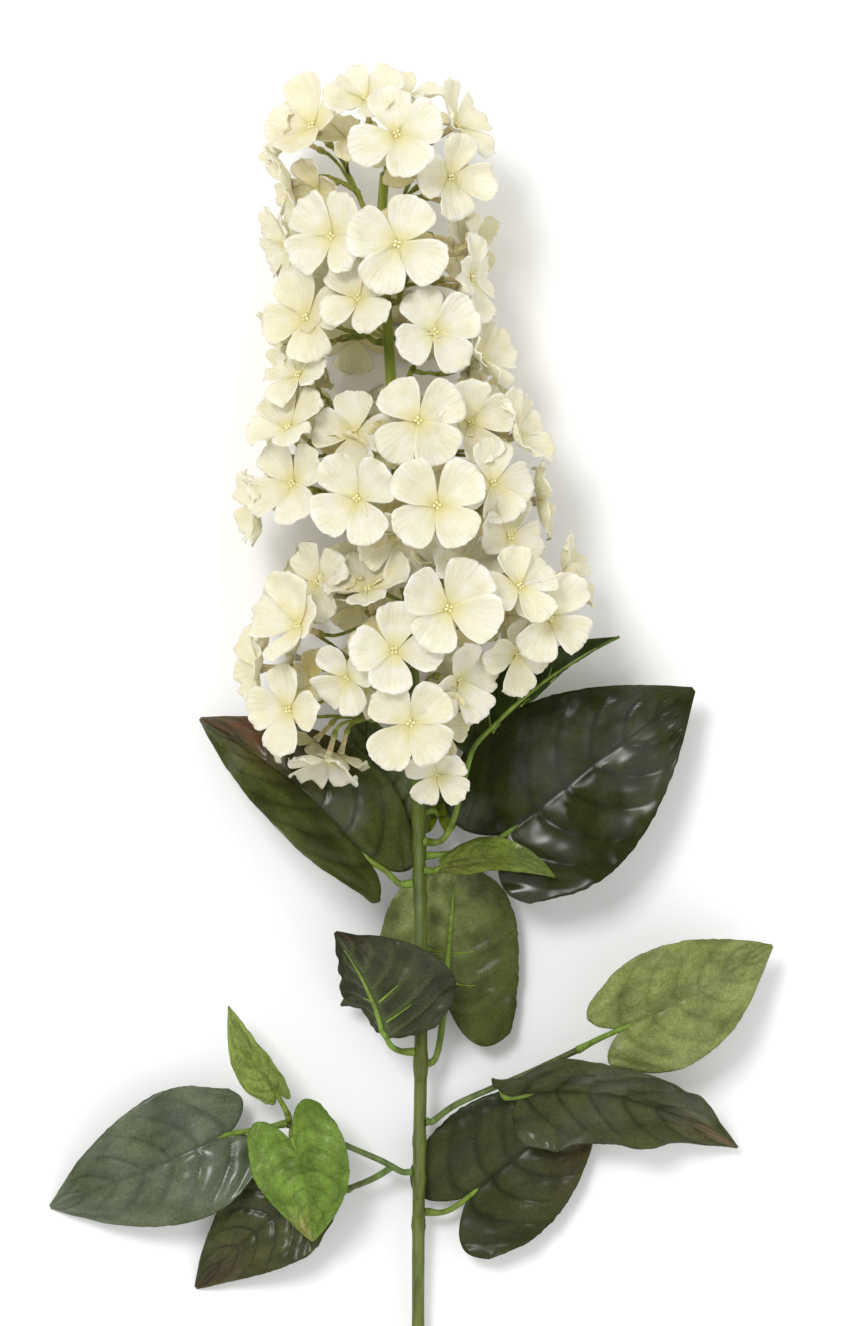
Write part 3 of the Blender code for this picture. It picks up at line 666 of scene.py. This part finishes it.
# How strongly a vein runs through a place on the blade, 0 to 1, and how puffed the cloth is beside it.
def veinStrength(t, v):
    look, reach = leafLook, abs(v)
    rib = math.exp(-((reach / look["midribWidth"]) ** 2)) * (1 - 0.6 * t)
    start = t - 0.20 * reach - 0.10 * reach**2  # side veins lean towards the tip
    spacing = 0.92 / look["sideVeins"]
    phase = (start - 0.03) / spacing
    apart = abs(phase - round(phase))
    side = 0.0
    if 0 <= round(phase) < look["sideVeins"]:
        side = math.exp(-((apart * spacing / look["veinWidth"]) ** 2)) * max(0.0, 1 - reach**2.5)
    puffed = math.sin(math.pi * min(apart * 2, 1.0) / 2) * math.sin(math.pi * min(reach, 1.0))
    return max(rib, side * (1 - 0.35 * t)), puffed


# A place on the blade, t along it and v across it, with the direction out of its face and the vein there.
def bladePoint(plan, t, v):
    look = leafLook
    base, mid, tip = (np.array(plan[key], float) for key in ("base", "mid", "tip"))
    bend = 2 * mid - (base + tip) / 2
    length = np.linalg.norm(mid - base) + np.linalg.norm(tip - mid)
    half = plan["width"] / 2
    back = plan["lobe"] * (1 - t) ** 3 * math.sin(0.8 * math.pi * abs(v)) ** 0.8
    s = t - back
    inside = max(s, 0.0)
    centre = (1 - inside) ** 2 * base + 2 * inside * (1 - inside) * bend + inside**2 * tip
    along = unit(2 * (1 - inside) * (bend - base) + 2 * inside * (tip - bend))
    centre = centre + along * min(s, 0.0) * length
    face = looking(*plan["face"][0]) * (1 - inside) + looking(*plan["face"][1]) * inside
    side = unit(cross(along, face))
    face = cross(side, along)
    fold = math.radians(plan["fold"][0] if v < 0 else plan["fold"][1])
    profile = smoothTable(plan.get("profile", look["profile"]), t)
    if "foot" in plan:  # broad lobes beside the stalk
        profile += (plan["foot"] - look["profile"][0][1]) * max(0.0, 1 - t / 0.3) ** 1.5
    out = side * math.copysign(math.cos(fold), v) + face * math.sin(fold)
    up = face * math.cos(fold) - side * math.copysign(math.sin(fold), v)
    seed = plan["width"] * 0.37
    reach = abs(v) * half * profile
    reach *= 1 + look["edgeFray"] * wobble(t * 34, v * 2, seed) * abs(v) ** 6
    vein, puffed = veinStrength(t, v)
    room = min(1.0, half * profile / 8)  # the relief fades where the blade is narrow
    rise = look["wave"] * length * abs(v) * math.sin(9 * t + (0 if v < 0 else 1.9)) * (1 - t)
    rise += room * plan["wave"] * 2.2 * abs(v) ** 1.5 * wobble(t * 3.4, v * 1.3, seed + 3)
    rise += room * plan["wave"] * 1.0 * abs(v) ** 3 * wobble(t * 11, v * 2.5, seed + 7)
    rise += room * 0.5 * wobble(t * 8, v * 5, seed + 11)
    rise += room * look["puff"] * puffed * (1 - 0.4 * t) * min(1.0, half / 22)
    rise -= room * look["creaseDepth"] * vein * min(1.0, half / 18)
    return centre + out * reach + up * rise, up, vein


def leafColour(plan, t, v, under):
    colour = linear(plan["under" if under else "top"])
    key = "blushUnder" if under else "blush"
    if key in plan:
        at, across, spread = plan[key + "At"]
        strength = math.exp(-(((t - at) / spread) ** 2) - ((v - across) / (spread * 2.2)) ** 2)
        strength *= 0.75 + 0.5 * wobble(t * 9, v * 5, 2.0)
        colour = colour + (linear(plan[key]) - colour) * min(max(strength, 0), 1)
    # lighter and darker patches at random: the cloth's own mottle, and painted patches of light that the
    # cloth catches
    shade = 1 + 0.45 * wobble(t * 5, v * 3, plan["width"]) + 0.25 * wobble(t * 14, v * 8, plan["width"])
    return np.maximum(colour - leafLook["haze"], colour * 0.35) * shade * leafLook["lift"]


def makeBlade(mesh, plan):
    look = leafLook
    place, tint = mesh.verts.layers.float_vector["leafPlace"], mesh.verts.layers.float_color["tint"]
    grid = bmesh.ops.create_grid(mesh, x_segments=look["columns"], y_segments=look["rows"], size=1.0)["verts"]
    for vertex in grid:
        v, t = vertex.co.x, (vertex.co.y + 1) / 2
        spot, up, vein = bladePoint(plan, t, v)
        vertex.co = spot + up * look["thickness"] / 2
        vertex[place] = (v, t, vein * plan.get("veinShadeAndColour", 1.0))
        vertex[tint] = (*leafColour(plan, t, v, False), plan["gloss"])
    mesh.normal_update()
    sheet = list(mesh.faces)
    if sheet[len(sheet) // 2].normal @ Vector(bladePoint(plan, 0.5, 0.2)[1]) < 0:
        bmesh.ops.reverse_faces(mesh, faces=sheet)
    tops = thicken(mesh, look["thickness"])
    for vertex in mesh.verts:
        if vertex not in tops:
            v, t, vein = vertex[place]
            vertex[tint] = (*leafColour(plan, t, v, True), plan["gloss"] * 0.5)
    for face in mesh.faces:
        face.material_index = 0 if all(vertex in tops for vertex in face.verts) else 1


# The stalk, which runs on below the blade as its midrib, and short side ribs.
def makeRibs(mesh, plan):
    look = leafLook
    if plan["on"] == "stem":
        lines, radius = [stemCurve], stemLook["radius"]
    else:
        lines, radius = shootLook["lines"][plan["on"]], shootLook["radius"]
    seats = [seatOn(line, radius, plan["stalk"][0]) for line in lines]
    seat, out = min(seats, key=lambda pair: np.linalg.norm(pair[0] - plan["stalk"][0]))

    def below(t, v, depth):
        spot, up, _ = bladePoint(plan, t, v)
        return spot - up * (look["thickness"] / 2 + depth)

    stout = look["ribRadius"] * plan.get("rib", 1.0)
    ribs = [below(t, 0.0, 0.9 * stout * (1.1 - t)) for t in np.linspace(0.09, look["ribEnd"], 10)]
    path = smoothLine([seat, seat + out * 1.5, *plan["stalk"], plan["base"], *ribs], 4)
    for _ in range(look["stalkEase"]):
        path[1:-1] = (path[:-2] + 2 * path[1:-1] + path[2:]) / 4
    travelled = np.concatenate([[0], np.cumsum(np.linalg.norm(np.diff(path, axis=0), axis=1))])
    baseAt = travelled[np.linalg.norm(path - np.array(plan["base"]), axis=1).argmin()]
    radii = np.interp(travelled, [0, 2, 5, baseAt, travelled[-1]],
                      [*look["stalkFoot"], look["stalkRadius"], stout * 1.15,
                       look["ribTip"] * plan.get("rib", 1.0)])
    small = min(1.0, plan["width"] / 26)
    radii = radii * (0.7 + 0.3 * small)
    green = linear(look["stalkColour"])
    sweep(mesh, path, radii, 10, 2, [green * 0.85, green, green * 0.9])
    for k in range(plan.get("stubs", 2)):
        t = look["stubFrom"] + look["stubStep"] * k
        for sign in (-1, 1):
            reach = (0.42 - 0.06 * k) * small
            stub = [below(t + 0.20 * v, sign * v, 0.3) for v in np.linspace(0.0, reach, 6)]
            sweep(mesh, stub, np.linspace(*look["stubRadii"], 6) * (0.6 + 0.4 * small), 6, 2, green * 1.05)


def makeLeaves():
    for name, plan in leafPlans.items():
        mesh = newMesh()
        makeBlade(mesh, plan)
        makeRibs(mesh, plan)
        keepAbove(mesh.verts, leafLook["floorEase"])
        piece(name + "_cloth", mesh, [finishes["leafTop"], finishes["leafUnder"], finishes["green"]],
              [name])


makeLeaves()
print("leaves made:", len(leafPlans))


# Sprays of florets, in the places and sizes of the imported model. Each spray has the place along the stem
# where its twig leaves, then its florets: x, y, z, sideways turn, tip towards the head, spin and size.

sprayPlans = {
    "spray_tip": (224, [(-4, 233, 77, 0, 12, 20, 1.12), (-1, 250, 50, 8, 68, 0, 0.95),
                        (-15, 248, 66, -12, 45, 40, 0.98)]),
    "spray_top_left": (208, [(-33, 240, 55, -40, 28, 10, 1.05), (-43, 219, 50, -82, -4, 30, 0.98),
                             (-42, 238, 40, -80, 18, 0, 0.92)]),
    "spray_top_right": (207, [(17, 239, 56, 56, 26, 30, 0.98), (14, 221, 66, 36, 2, 0, 0.98),
                              (18, 213, 48, 82, -10, 45, 0.98)]),
    "spray_high_left": (180, [(-27, 199, 67, -26, 4, 45, 1.08), (-42, 197, 50, -72, -8, 20, 1.0),
                              (-41, 184, 33, -95, -12, 0, 0.92)]),
    "spray_high_right": (178, [(-4, 195, 79, 4, -4, 65, 1.16), (21, 186, 56, 74, 4, 10, 1.0),
                               (22, 196, 39, 88, 10, 45, 0.92)]),
    "spray_upper_left": (164, [(-36, 171, 62, -30, 2, 15, 1.08), (-42, 163, 40, -84, -2, 45, 0.98),
                               (-18, 176, 72, -12, 22, 40, 0.95)]),
    "spray_upper_right": (148, [(9, 165, 71, 14, 4, 30, 1.05), (25, 157, 54, 66, 24, 0, 1.0),
                                (24, 168, 33, 92, 0, 20, 0.95)]),
    "spray_mid_left": (132, [(-38, 151, 56, -52, 30, 0, 0.95), (-42, 131, 63, -35, 44, 40, 1.0),
                             (-39, 142, 37, -92, 6, 20, 0.95)]),
    "spray_mid_front": (122, [(3, 133, 76, 4, 4, 40, 1.12), (-19, 130, 65, -18, 8, 0, 1.0)]),
    "spray_mid_right": (121, [(22, 134, 67, 26, 12, 15, 0.98), (37, 129, 56, 52, 16, 40, 0.98),
                              (28, 141, 48, 55, 45, 0, 0.9)]),
    "spray_wide_left": (102, [(-41, 113, 62, -34, 2, 20, 1.05), (-53, 104, 46, -76, -6, 45, 0.98),
                              (-47, 122, 38, -88, 10, 0, 0.95)]),
    "spray_wide_front": (92, [(-18, 107, 74, -14, 0, 35, 1.08), (-3, 93, 67, 0, -30, 0, 0.98)]),
    "spray_wide_right": (90, [(10, 103.5, 82, 0, 2, 45, 1.14), (30, 112, 68, 22, 2, 10, 1.0),
                              (46, 107, 43, 84, 6, 40, 1.0)]),
    "spray_low_right": (66, [(14, 67, 80, 6, 0, 65, 1.14), (20, 84, 70, 22, 24, 20, 0.95),
                             (35, 93, 62, 34, 10, 0, 0.98)]),
    "spray_outer_right": (58, [(50, 65, 66, 26, 0, 55, 1.06), (38, 75, 73, 22, 10, 20, 0.96),
                               (38, 52, 60, 30, -24, 0, 0.95), (55, 80, 44, 78, 14, 30, 0.95)]),
    "spray_low_left": (64, [(-14, 75, 66, -10, 34, 10, 1.02), (-32, 76, 58, -38, 34, 40, 0.98),
                            (-38, 62, 65, -36, 14, 0, 1.05)]),
    "spray_bottom_front": (48, [(-5, 53, 80, 0, 4, 0, 1.08), (-22, 43, 72, -20, -14, 30, 0.86)]),
    "spray_outer_left": (40, [(-52, 47, 48, -74, 2, 20, 1.0), (-42, 33, 64, -26, -4, 0, 1.0),
                              (-51, 62, 36, -88, 12, 45, 0.95)]),
    "spray_bottom_left": (30, [(-29, 14, 52, -30, -62, 20, 0.9), (-49, 26, 37, -80, -14, 30, 0.92)]),
    "spray_bottom_right": (32, [(1, 28, 78, 2, -4, 45, 1.1), (18, 42, 68, 42, -10, 20, 0.98),
                                (10, 9, 66, 8, -30, 60, 0.78)]),
}
underPlan = {
    "firstRow": 44.0, "rowStep": 32.0, "rows": 6, "even": (-0.36, 0.36), "odd": (-0.78, 0.0, 0.78),
    "halfWidth": [(20.0, 44.0), (100.0, 45.0), (150.0, 36.0), (235.0, 30.0)],
    "edgeRise": 17.0, "turn": 52.0, "size": 0.95, "seed": 11,
}
clearPlan = {  # each floret's room is a set of balls, at an angle and a share of the petal's length
    "steps": 150,
    "push": 0.24,
    "tip": 0.022,
    "hold": 0.012,
    "reach": 46.0,
    "petalBalls": [(0, 0.32), (0, 0.62), (-27, 0.68), (27, 0.68), (-12, 0.92), (12, 0.92)],
    "petalRadius": 2.1,
    "tubeBalls": [3.0, 8.0],
    "tubeRadius": 1.8,
    "stalkBalls": [0.25, 0.5, 0.75],
    "stalkRadius": 1.5,
    "stemRoom": 3.6,
    "surfaceRoom": 1.0,
    "outline": [(-45, 0.24), (-37, 0.66), (-17, 0.97), (17, 0.97), (37, 0.66)],
    "thickness": 0.6,
}
floretLook = {
    "seed": 400,
    "floorEase": 1.6,
    "span": 16.0,
    "thickness": 0.28,
    "segments": 14,
    "width": ((0.0, 0.09), (0.15, 0.20), (0.35, 0.36), (0.5, 0.44),
              (0.65, 0.48), (0.8, 0.465), (0.9, 0.43), (1.0, 0.36)),
    "cup": 0.24,
    "cupSpread": (-0.12, 0.22),
    "bowls": 0.18,  # share of florets that are half closed
    "bowlCup": 0.28,
    "petalTurn": 7,
    "dent": 0.04,
    "unevenRim": 0.024,
    "belly": 0.07,
    "raisedSides": 0.10,
    "rolledRim": 0.6,
    "bend": 0.17,
    "ruffle": 0.055,
    "crease": 0.025,
    "tubeLength": 12.5,
    "tubeBacks": (11.0, 8.0, 5.0, 2.6, 1.1, 0.35),  # behind the throat
    "tubeRadii": (0.75, 1.0, 1.08, 1.18, 1.35, 1.75, 2.05),
    "calyxBacks": (11.6, 10.4, 9.9),
    "calyxRadii": (0.7, 1.1, 1.42, 1.38, 1.1),
    "stalkRadii": (0.805, 0.7, 0.665, 0.644, 0.665, 0.7, 0.805),
    "twigRadii": (1.5, 1.2, 0.95, 1.0, 1.35),
    "fork": 0.45,
    "forkRadius": 1.45,
    "beadRadius": 0.62,
    "innerEach": 2,
    "innerSize": 0.74,
    "innerFrom": 27.0,  # the lowest florets hang free
    "innerOut": (5.0, 9.0),
    "rim": (247, 245, 233),
    "blade": (240, 235, 215),
    "throat": (220, 210, 126),
    # painted shade: the darker, yellower tone given to florets deep in the head
    "deepShade": (224, 211, 146),
    "tubeColour": (230, 220, 180),
    "calyx": (168, 172, 88),
    "twig": (150, 162, 62),
    "twigDark": (118, 134, 44),
    "bead": (250, 244, 205),
}


class Floret:
    def __init__(self, place, facing, spin, size, under=False):
        self.place = np.array(place, float)
        self.home = self.place.copy()
        self.facing = unit(facing)
        self.size = size
        self.under = under
        across = cross([0.0, 1.0, 0.0], self.facing)
        if np.linalg.norm(across) < 0.2:
            across = np.array([1.0, 0.0, 0.0])
        across = unit(across - self.facing * (across @ self.facing))
        along = cross(self.facing, across)
        turn = math.radians(spin)
        self.across = across * math.cos(turn) + along * math.sin(turn)
        self.aside = cross(self.facing, self.across)

    def span(self):
        return floretLook["span"] * self.size

    def outward(self, angle):
        turn = math.radians(angle)
        return self.across * math.cos(turn) + self.aside * math.sin(turn)

    def at(self, angle, share):
        rise = floretLook["cup"] * self.span() * share**1.6
        return self.place + self.outward(angle) * share * self.span() + self.facing * rise

    def tubePoint(self, back):
        return self.place - self.facing * back * self.size

    def balls(self, fork):
        centres = [self.at(90 * k + off, share) for k in range(4) for off, share in clearPlan["petalBalls"]]
        centres += [self.tubePoint(back) for back in clearPlan["tubeBalls"]]
        end = self.tubePoint(floretLook["tubeLength"])
        centres += [end + (fork - end) * share for share in clearPlan["stalkBalls"]]
        return np.array(centres)

    def tipOver(self, turn):
        self.facing = unit(self.facing + cross(turn, self.facing))
        across = self.across + cross(turn, self.across)
        self.across = unit(across - self.facing * (across @ self.facing))
        self.aside = cross(self.facing, self.across)

    def lowest(self):
        return min(self.at(90 * k + off, share)[2] for k in range(4) for off, share in clearPlan["outline"])


def allSprays():
    sprays = {}
    for name, (root, florets) in sprayPlans.items():
        made = [Floret((x, y, z), looking(yaw, lift), spin, size)
                for x, y, z, yaw, lift, spin, size in florets]
        sprays[name] = (root, made)
    plan = underPlan
    draw = np.random.default_rng(plan["seed"])
    ys, widths = zip(*plan["halfWidth"])
    for row in range(plan["rows"]):
        y = plan["firstRow"] + plan["rowStep"] * row
        half, centre, florets = np.interp(y, ys, widths), stemAt(y), []
        for share in plan["odd"] if row % 2 else plan["even"]:
            outer = abs(share) > 0.6
            jitter = draw.uniform(-1, 1, 4)
            place = (centre[0] + share * half, y + 3 * jitter[0], plan["edgeRise"] if outer else 4.5)
            yaw = 180 - math.copysign(plan["turn"] if outer else 8, share)
            facing = looking(yaw + 8 * jitter[1], 10 * jitter[2])
            florets.append(Floret(place, facing, 45 * jitter[3], plan["size"], under=not outer))
        sprays[f"spray_under_{row + 1}"] = (y - 12.0, florets)
    return sprays


# Where the twig of a spray forks into the stalks of its florets.
def forkOf(root, florets):
    start = stemAt(root)
    middle = np.mean([floret.tubePoint(floretLook["tubeLength"]) for floret in florets], axis=0)
    return start + (middle - start) * floretLook["fork"]


def limited(vectors, most):
    size = np.linalg.norm(vectors, axis=1)[:, None]
    return vectors * np.minimum(1.0, most / np.maximum(size, 1e-9))


# Pushes and tips the florets until the room that each needs is its own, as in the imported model.
def clearNeighbours(sprays):
    plan = clearPlan
    florets = [floret for _, members in sprays.values() for floret in members]
    sprayOf = np.repeat(np.arange(len(sprays)), [len(members) for _, members in sprays.values()])
    homes = np.array([floret.home for floret in florets])
    first, second = np.triu_indices(len(florets), 1)
    near = np.linalg.norm(homes[first] - homes[second], axis=1) < plan["reach"]
    first, second = first[near], second[near]
    same = sprayOf[first] == sprayOf[second]
    stalkBalls = len(plan["stalkBalls"])
    radii = np.array([plan["petalRadius"]] * 4 * len(plan["petalBalls"])
                     + [plan["tubeRadius"]] * len(plan["tubeBalls"]) + [plan["stalkRadius"]] * stalkBalls)
    own = np.arange(len(radii)) < len(radii) - stalkBalls
    counts = np.where(same[:, None, None], own[:, None] & own[None], True)
    need = radii[:, None] + radii[None]
    stem = np.array([stemAt(y) for y in np.arange(-20.0, 226.0, 4.0)])
    for number in range(plan["steps"]):
        hold = plan["hold"] * (1 - number / plan["steps"])
        forks = [forkOf(root, members) for root, members in sprays.values()]
        centres = np.array([floret.balls(forks[k]) for floret, k in zip(florets, sprayOf)])
        here, there = centres[first], centres[second]
        square = ((here**2).sum(axis=2)[:, :, None] + (there**2).sum(axis=2)[:, None]
                  - 2 * here @ there.transpose(0, 2, 1))
        pair, one, other = np.nonzero((square < need**2) & counts)
        gap = here[pair, one] - there[pair, other]
        distance = np.maximum(np.linalg.norm(gap, axis=1), 1e-6)
        force = gap * (np.maximum(need[one, other] - distance, 0.0) / distance)[:, None] / 2
        onBall = np.zeros_like(centres)
        np.add.at(onBall, (first[pair], one), force)
        np.add.at(onBall, (second[pair], other), -force)
        petals = centres[:, own]
        toStem = petals[:, :, None] - stem
        reach = np.linalg.norm(toStem, axis=3)
        short = np.maximum(radii[own][:, None] + plan["stemRoom"] - reach, 0.0)
        onBall[:, own] += (toStem * (short / reach)[..., None]).sum(axis=2) / 2
        middles = np.array([floret.place for floret in florets])
        push = limited(onBall.sum(axis=1) * plan["push"], 0.9)
        swing = np.cross(centres - middles[:, None], onBall).sum(axis=1)
        turn = limited(swing * plan["tip"] / floretLook["span"], 0.05)
        for floret, step, twist in zip(florets, push, turn):
            floret.place = floret.place + step + (floret.home - floret.place) * hold
            floret.tipOver(twist)
            low = floret.lowest() - plan["thickness"] / 2
            if floret.under:
                floret.place[2] -= low
            elif low < plan["surfaceRoom"]:
                floret.place[2] += plan["surfaceRoom"] - low


# Four broad petals, each a bent grid with its own cup, curl and ruffle.
def makePetals(mesh, floret, draw, shadeAndTone):
    look, span = floretLook, floret.span()
    place, tint = mesh.verts.layers.float_vector["petalPlace"], mesh.verts.layers.float_color["tint"]
    count = look["segments"]
    rim, blade, throat, deepShade = (linear(look[key]) for key in ("rim", "blade", "throat", "deepShade"))
    cup = look["cup"] + draw.uniform(*look["cupSpread"])
    cup += look["bowlCup"] if draw.random() < look["bowls"] else 0.0
    for k in range(4):
        luck = draw.uniform(-1, 1, 8)
        out = floret.outward(90 * k + look["petalTurn"] * luck[0])
        across = cross(floret.facing, out)
        for vertex in bmesh.ops.create_grid(mesh, x_segments=count, y_segments=count, size=1.0)["verts"]:
            u, s = vertex.co.x, (vertex.co.y + 1) / 2
            wide = smoothTable(look["width"], s) * (1 + 0.09 * luck[1])
            r = (0.04 + 0.95 * s) * (1 - 0.145 * u * u * s**4) * (0.99 + 0.06 * luck[2])
            if s > 0.8:  # a soft dent in the middle of the rim
                r -= look["dent"] * (s - 0.8) / 0.2 * math.exp(-((u / 0.25) ** 2)) * (0.5 + 0.5 * luck[3])
            r *= 1 + look["unevenRim"] * s**5 * wobble(u * 5 + luck[6] * 6, k, luck[1] * 8)
            wide *= 1 + 0.05 * abs(u) ** 4 * wobble(s * 6, u + luck[7] * 6, k)
            share = math.hypot(r, u * wide)
            rise = cup * share**1.6 - look["belly"] * math.exp(-(((share - 0.62) / 0.25) ** 2)) * (1 - u * u)
            rise += (look["raisedSides"] + 0.06 * luck[6]) * u * u * math.sin(math.pi * min(s, 0.9))
            rise -= (look["rolledRim"] + 0.6 * luck[7]) * max(0.0, s - 0.68) ** 2
            rise += 0.15 * luck[4] * s**2 + 0.12 * luck[5] * u * s + 0.02 * (k % 2)
            rise += look["bend"] * s * s * wobble(u * 1.7 + luck[0] * 5, s * 2.4, luck[1] * 7 + k)
            rise += look["ruffle"] * s**1.5 * wobble(u * 5.0, s * 4.5, luck[2] * 9 + k)
            rise -= look["crease"] * math.exp(-((u / 0.13) ** 2)) * math.sin(math.pi * min(s, 1.0))
            vertex.co = floret.place + (out * r + across * u * wide + floret.facing * rise) * span
            vertex[place] = (u, s, 0.5 + 0.5 * luck[3])
            colour = throat + (blade - throat) * min(1.0, (s / 0.42)) ** 0.8
            edge = max(max(0.0, s - 0.72) / 0.28, max(0.0, abs(u) - 0.75) / 0.25 * min(1.0, s * 2))
            colour = colour + (rim - colour) * edge * 0.7
            # painted shade: deeper florets move towards a darker, yellower tone, by an amount that also
            # varies at random
            colour = colour + (deepShade - colour) * min(1.0, shadeAndTone * (0.75 + 0.6 * luck[4] * (1 - s)))
            vertex[tint] = (*np.clip(colour, 0, 1), 0.0)


# The tube, its green cup, the stalk back to the fork and the small beads in the throat.
def makeFloretParts(mesh, floret, fork, knee, draw):
    look, size, length = floretLook, floret.size, floretLook["tubeLength"]
    tubeColour, blade, calyx, twig, twigDark, beadColour, throat = (
        linear(look[key]) for key in ("tubeColour", "blade", "calyx", "twig", "twigDark", "bead", "throat"))
    path = [floret.tubePoint(back) for back in (length, *look["tubeBacks"])]
    colours = [tubeColour * 0.8, tubeColour, blade * 0.92]
    sweep(mesh, path, [r * size for r in look["tubeRadii"]], 10, 1, colours)
    path = [floret.tubePoint(back) for back in (length + 1.2, length + 0.4, *look["calyxBacks"])]
    sweep(mesh, path, [r * size for r in look["calyxRadii"]], 8, 2, [calyx * 0.8, calyx * 1.15])
    end = floret.tubePoint(length + 0.3)
    leave = fork + (knee - fork) * 0.12
    control = end - floret.facing * 0.28 * np.linalg.norm(end - leave)
    stalk = arc(leave, control, end, len(look["stalkRadii"]))
    stalk[1:-1] += draw.uniform(-0.35, 0.35, (len(stalk) - 2, 3))
    sweep(mesh, stalk, look["stalkRadii"], 7, 2, [twigDark, twig, calyx])
    for angle in (45, 135, 225, 315):
        spot = floret.place + floret.outward(angle + 8) * 0.85 * size + floret.facing * 0.75 * size
        bead(mesh, spot, look["beadRadius"] * size, 1, beadColour)
    bead(mesh, floret.place + floret.facing * 0.7 * size, 0.7 * size, 1, throat * 0.85)


# Smaller florets that fill a spray between its fork and the outer ones.
def innerFlorets(florets, fork, draw):
    look = floretLook
    inner = []
    for floret in florets[: 0 if fork[1] < look["innerFrom"] else look["innerEach"]]:
        size = look["innerSize"] * draw.uniform(0.9, 1.12)
        side = unit(cross(floret.facing, draw.uniform(-1, 1, 3)))
        reach = floret.place - fork
        place = fork + reach * draw.uniform(0.60, 0.70) + side * draw.uniform(*look["innerOut"])
        facing = unit(floret.facing + side * draw.uniform(0.4, 0.9))
        low = look["span"] * size + 1.0
        place[2] = max(place[2], 1.5 + low * math.hypot(facing[0], facing[1]))
        inner.append(Floret(place, facing, draw.uniform(0, 90), size))
    return inner


def makeSprays():
    look = floretLook
    sprays = allSprays()
    clearNeighbours(sprays)
    for number, (name, (root, florets)) in enumerate(sprays.items()):
        draw = np.random.default_rng(look["seed"] + number)
        mesh = newMesh()
        for floret in florets:
            # florets lower in the head get more painted shade, with a random share of tone on top
            depth = np.clip((72 - floret.place[2]) / 60, 0, 1)
            makePetals(mesh, floret, draw, 0.08 + 0.62 * depth + draw.uniform(-0.08, 0.16))
        fork = forkOf(root, florets)
        inner = innerFlorets(florets, fork, draw)
        for floret in inner:
            # inner florets sit deep in the spray and get much painted shade
            makePetals(mesh, floret, draw, 0.75 + draw.uniform(-0.15, 0.25))
        thicken(mesh, look["thickness"])
        start = stemAt(root)
        ahead = unit(stemAt(root + 2) - stemAt(root - 2))
        out = unit(fork - start - ahead * ((fork - start) @ ahead))
        seat = start + out * (stemLook["radius"] + stemLook["seatGap"])
        knee = seat + out * 2.5
        twig = smoothLine([seat, knee, knee + (fork - knee) * 0.5, fork], 4)
        last = len(twig) - 1
        radii = np.interp(np.arange(len(twig)), [0, 2, 5, last - 1, last], look["twigRadii"])
        sweep(mesh, twig, radii, 9, 2, [linear(look["twigDark"]), linear(look["twig"])])
        bead(mesh, fork, look["forkRadius"], 2, linear(look["twig"]))
        for floret in florets + inner:
            makeFloretParts(mesh, floret, fork, knee, draw)
        keepAbove(mesh.verts, look["floorEase"])
        piece(name + "_florets", mesh, [finishes["petal"], finishes["tube"], finishes["green"]],
              [name])
    return sprays


sprays = makeSprays()
print("sprays made:", len(sprays), "florets:", sum(len(members) for _, members in sprays.values()))


# Floor, light and camera.

stageLook = {
    "floorSize": 8.0,
    "floorDrop": 0.0002,
    "sky": 0.78,
    "keyPower": 18.0,
    "keySize": 0.55,
    "keyFrom": (-0.55, 0.72, 1.75),
    "fillPower": 6.0,
    "fillSize": 1.6,
    "fillFrom": (1.5, -0.8, 1.5),
    "aim": (0.0, 0.05, 0.03),
    "lens": 100.0,
    "cameraAt": (0.0058, 0.0486, 1.366),
}


def makeStage():
    look = stageLook
    mesh = bmesh.new()
    bmesh.ops.create_grid(mesh, x_segments=8, y_segments=8, size=look["floorSize"] / 2)
    bmesh.ops.translate(mesh, vec=(0, 0, -look["floorDrop"]), verts=mesh.verts)
    data = bpy.data.meshes.new("floor")
    mesh.to_mesh(data)
    mesh.free()
    data.materials.append(floorFinish())
    floor = bpy.data.objects.new("floor", data)
    bpy.context.scene.collection.objects.link(floor)

    world = bpy.data.worlds.new("studio")
    world.use_nodes = True
    sky = world.node_tree.nodes["Background"]
    sky.inputs["Color"].default_value = (1.0, 1.0, 1.0, 1.0)
    sky.inputs["Strength"].default_value = look["sky"]
    bpy.context.scene.world = world

    for name in ("key", "fill"):
        lamp = bpy.data.lights.new(name, "AREA")
        lamp.energy, lamp.size = look[name + "Power"], look[name + "Size"]
        holder = bpy.data.objects.new(name, lamp)
        holder.location = look[name + "From"]
        aim = Vector(look["aim"]) - Vector(look[name + "From"])
        holder.rotation_euler = aim.to_track_quat("-Z", "Y").to_euler()
        bpy.context.scene.collection.objects.link(holder)

    camera = bpy.data.cameras.new("camera")
    camera.lens = look["lens"]
    camera.clip_end = 20.0
    holder = bpy.data.objects.new("camera", camera)
    holder.location = look["cameraAt"]
    bpy.context.scene.collection.objects.link(holder)
    bpy.context.scene.camera = holder
    bpy.context.scene.view_settings.view_transform = "Standard"


makeStage()
print("floor, light and camera made")
